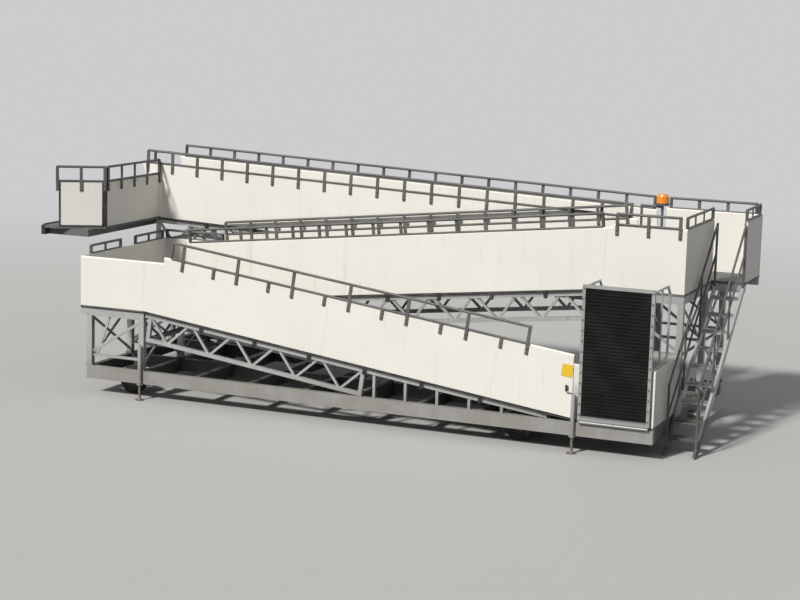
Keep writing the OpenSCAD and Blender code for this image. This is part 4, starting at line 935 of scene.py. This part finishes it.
# %% [markdown]
# The floor is stage, not part of the machine. It is a wide pale disc whose rim fades to the colour of
# the background, so no horizon line crosses the picture, and it keeps the soft shadow that seats the
# wheels and jacks on the ground. Cream panels need something a little darker behind them, so the
# background is a pale grey. Reflected and refracted rays see it as the camera does, so metal and glass
# show it too. One broad sun stands high behind the camera and to its left, as in the photograph, so
# what faces right is in its shade, and the world fills that shade.

# %% Floor and light
FLOOR_R, RIM_FADE = 60.0, (9.0, 30.0)
BACKDROP = (0.60, 0.61, 0.62, 1.0)
FILL_COLOUR, FILL_STRENGTH = (0.94, 0.97, 1.0, 1.0), 0.28
SUNBEAM, SUN_COLOUR, SUN_ENERGY = Vector((0.22, 0.73, -0.65)), (1.0, 0.97, 0.92), 3.5
RAYS_THAT_SHOW = ("Is Camera Ray", "Is Glossy Ray", "Is Transmission Ray")


def floor_finish():
    finish = Finish("floor")
    rays = finish.tree.nodes.new("ShaderNodeLightPath")
    seen, mirrored, through = (Wire(finish, rays.outputs[ray]) for ray in RAYS_THAT_SHOW)
    shown = seen + mirrored + through
    colour = finish.blend(shown, (0.15, 0.148, 0.145, 1), (0.50, 0.50, 0.495, 1))
    finish.set("Base Color", colour)
    finish.set("Roughness", 0.85)
    reach = finish.node("ShaderNodeVectorMath", {"operation": "LENGTH"}, {0: finish.place}, out="Value")
    rim = finish.node("ShaderNodeEmission", inputs={"Color": BACKDROP, "Strength": 1.0})
    mix = finish.tree.nodes.new("ShaderNodeMixShader")
    finish.plug(mix.inputs[0], reach.fade(*RIM_FADE) * seen)
    finish.tree.links.new(finish.shader.outputs[0], mix.inputs[1])
    finish.tree.links.new(rim.socket, mix.inputs[2])
    output = next(n for n in finish.tree.nodes if n.type == "OUTPUT_MATERIAL")
    finish.tree.links.new(mix.outputs[0], output.inputs["Surface"])
    return finish.material


disc = bmesh.new()
bmesh.ops.create_circle(disc, cap_ends=True, radius=FLOOR_R, segments=96)
floor_mesh = bpy.data.meshes.new("floor")
disc.to_mesh(floor_mesh)
disc.free()
floor_mesh.materials.append(floor_finish())
floor = bpy.data.objects.new("floor", floor_mesh)
scene.collection.objects.link(floor)

world = bpy.data.worlds.new("studio")
world.use_nodes = True
scene.world = world
sky = world.node_tree
backdrop = sky.nodes["Background"]
backdrop.inputs["Color"].default_value = BACKDROP
backdrop.inputs["Strength"].default_value = 1.0
dim = sky.nodes.new("ShaderNodeBackground")
dim.inputs["Color"].default_value = FILL_COLOUR
dim.inputs["Strength"].default_value = FILL_STRENGTH
paths = sky.nodes.new("ShaderNodeLightPath")
shown = paths.outputs[RAYS_THAT_SHOW[0]]
for ray in RAYS_THAT_SHOW[1:]:
    either = sky.nodes.new("ShaderNodeMath")
    either.operation = "MAXIMUM"
    sky.links.new(shown, either.inputs[0])
    sky.links.new(paths.outputs[ray], either.inputs[1])
    shown = either.outputs[0]
choice = sky.nodes.new("ShaderNodeMixShader")
sky.links.new(shown, choice.inputs[0])
sky.links.new(dim.outputs[0], choice.inputs[1])
sky.links.new(backdrop.outputs[0], choice.inputs[2])
sky.links.new(choice.outputs[0], sky.nodes["World Output"].inputs["Surface"])

sun_data = bpy.data.lights.new("sun", "SUN")
sun_data.energy = SUN_ENERGY
sun_data.angle = math.radians(6.0)
sun_data.color = SUN_COLOUR
sun = bpy.data.objects.new("sun", sun_data)
sun.rotation_mode = "QUATERNION"
sun.rotation_quaternion = SUNBEAM.to_track_quat("-Z", "Y")
scene.collection.objects.link(sun)
print("floor radius", FLOOR_R, "m")

# %% [markdown]
# The visual model has to keep the imported model's size, so the imported model's box is printed.

# %% Sizes
print("CAD box", [[round(v, 4) for v in c] for c in cad_box])
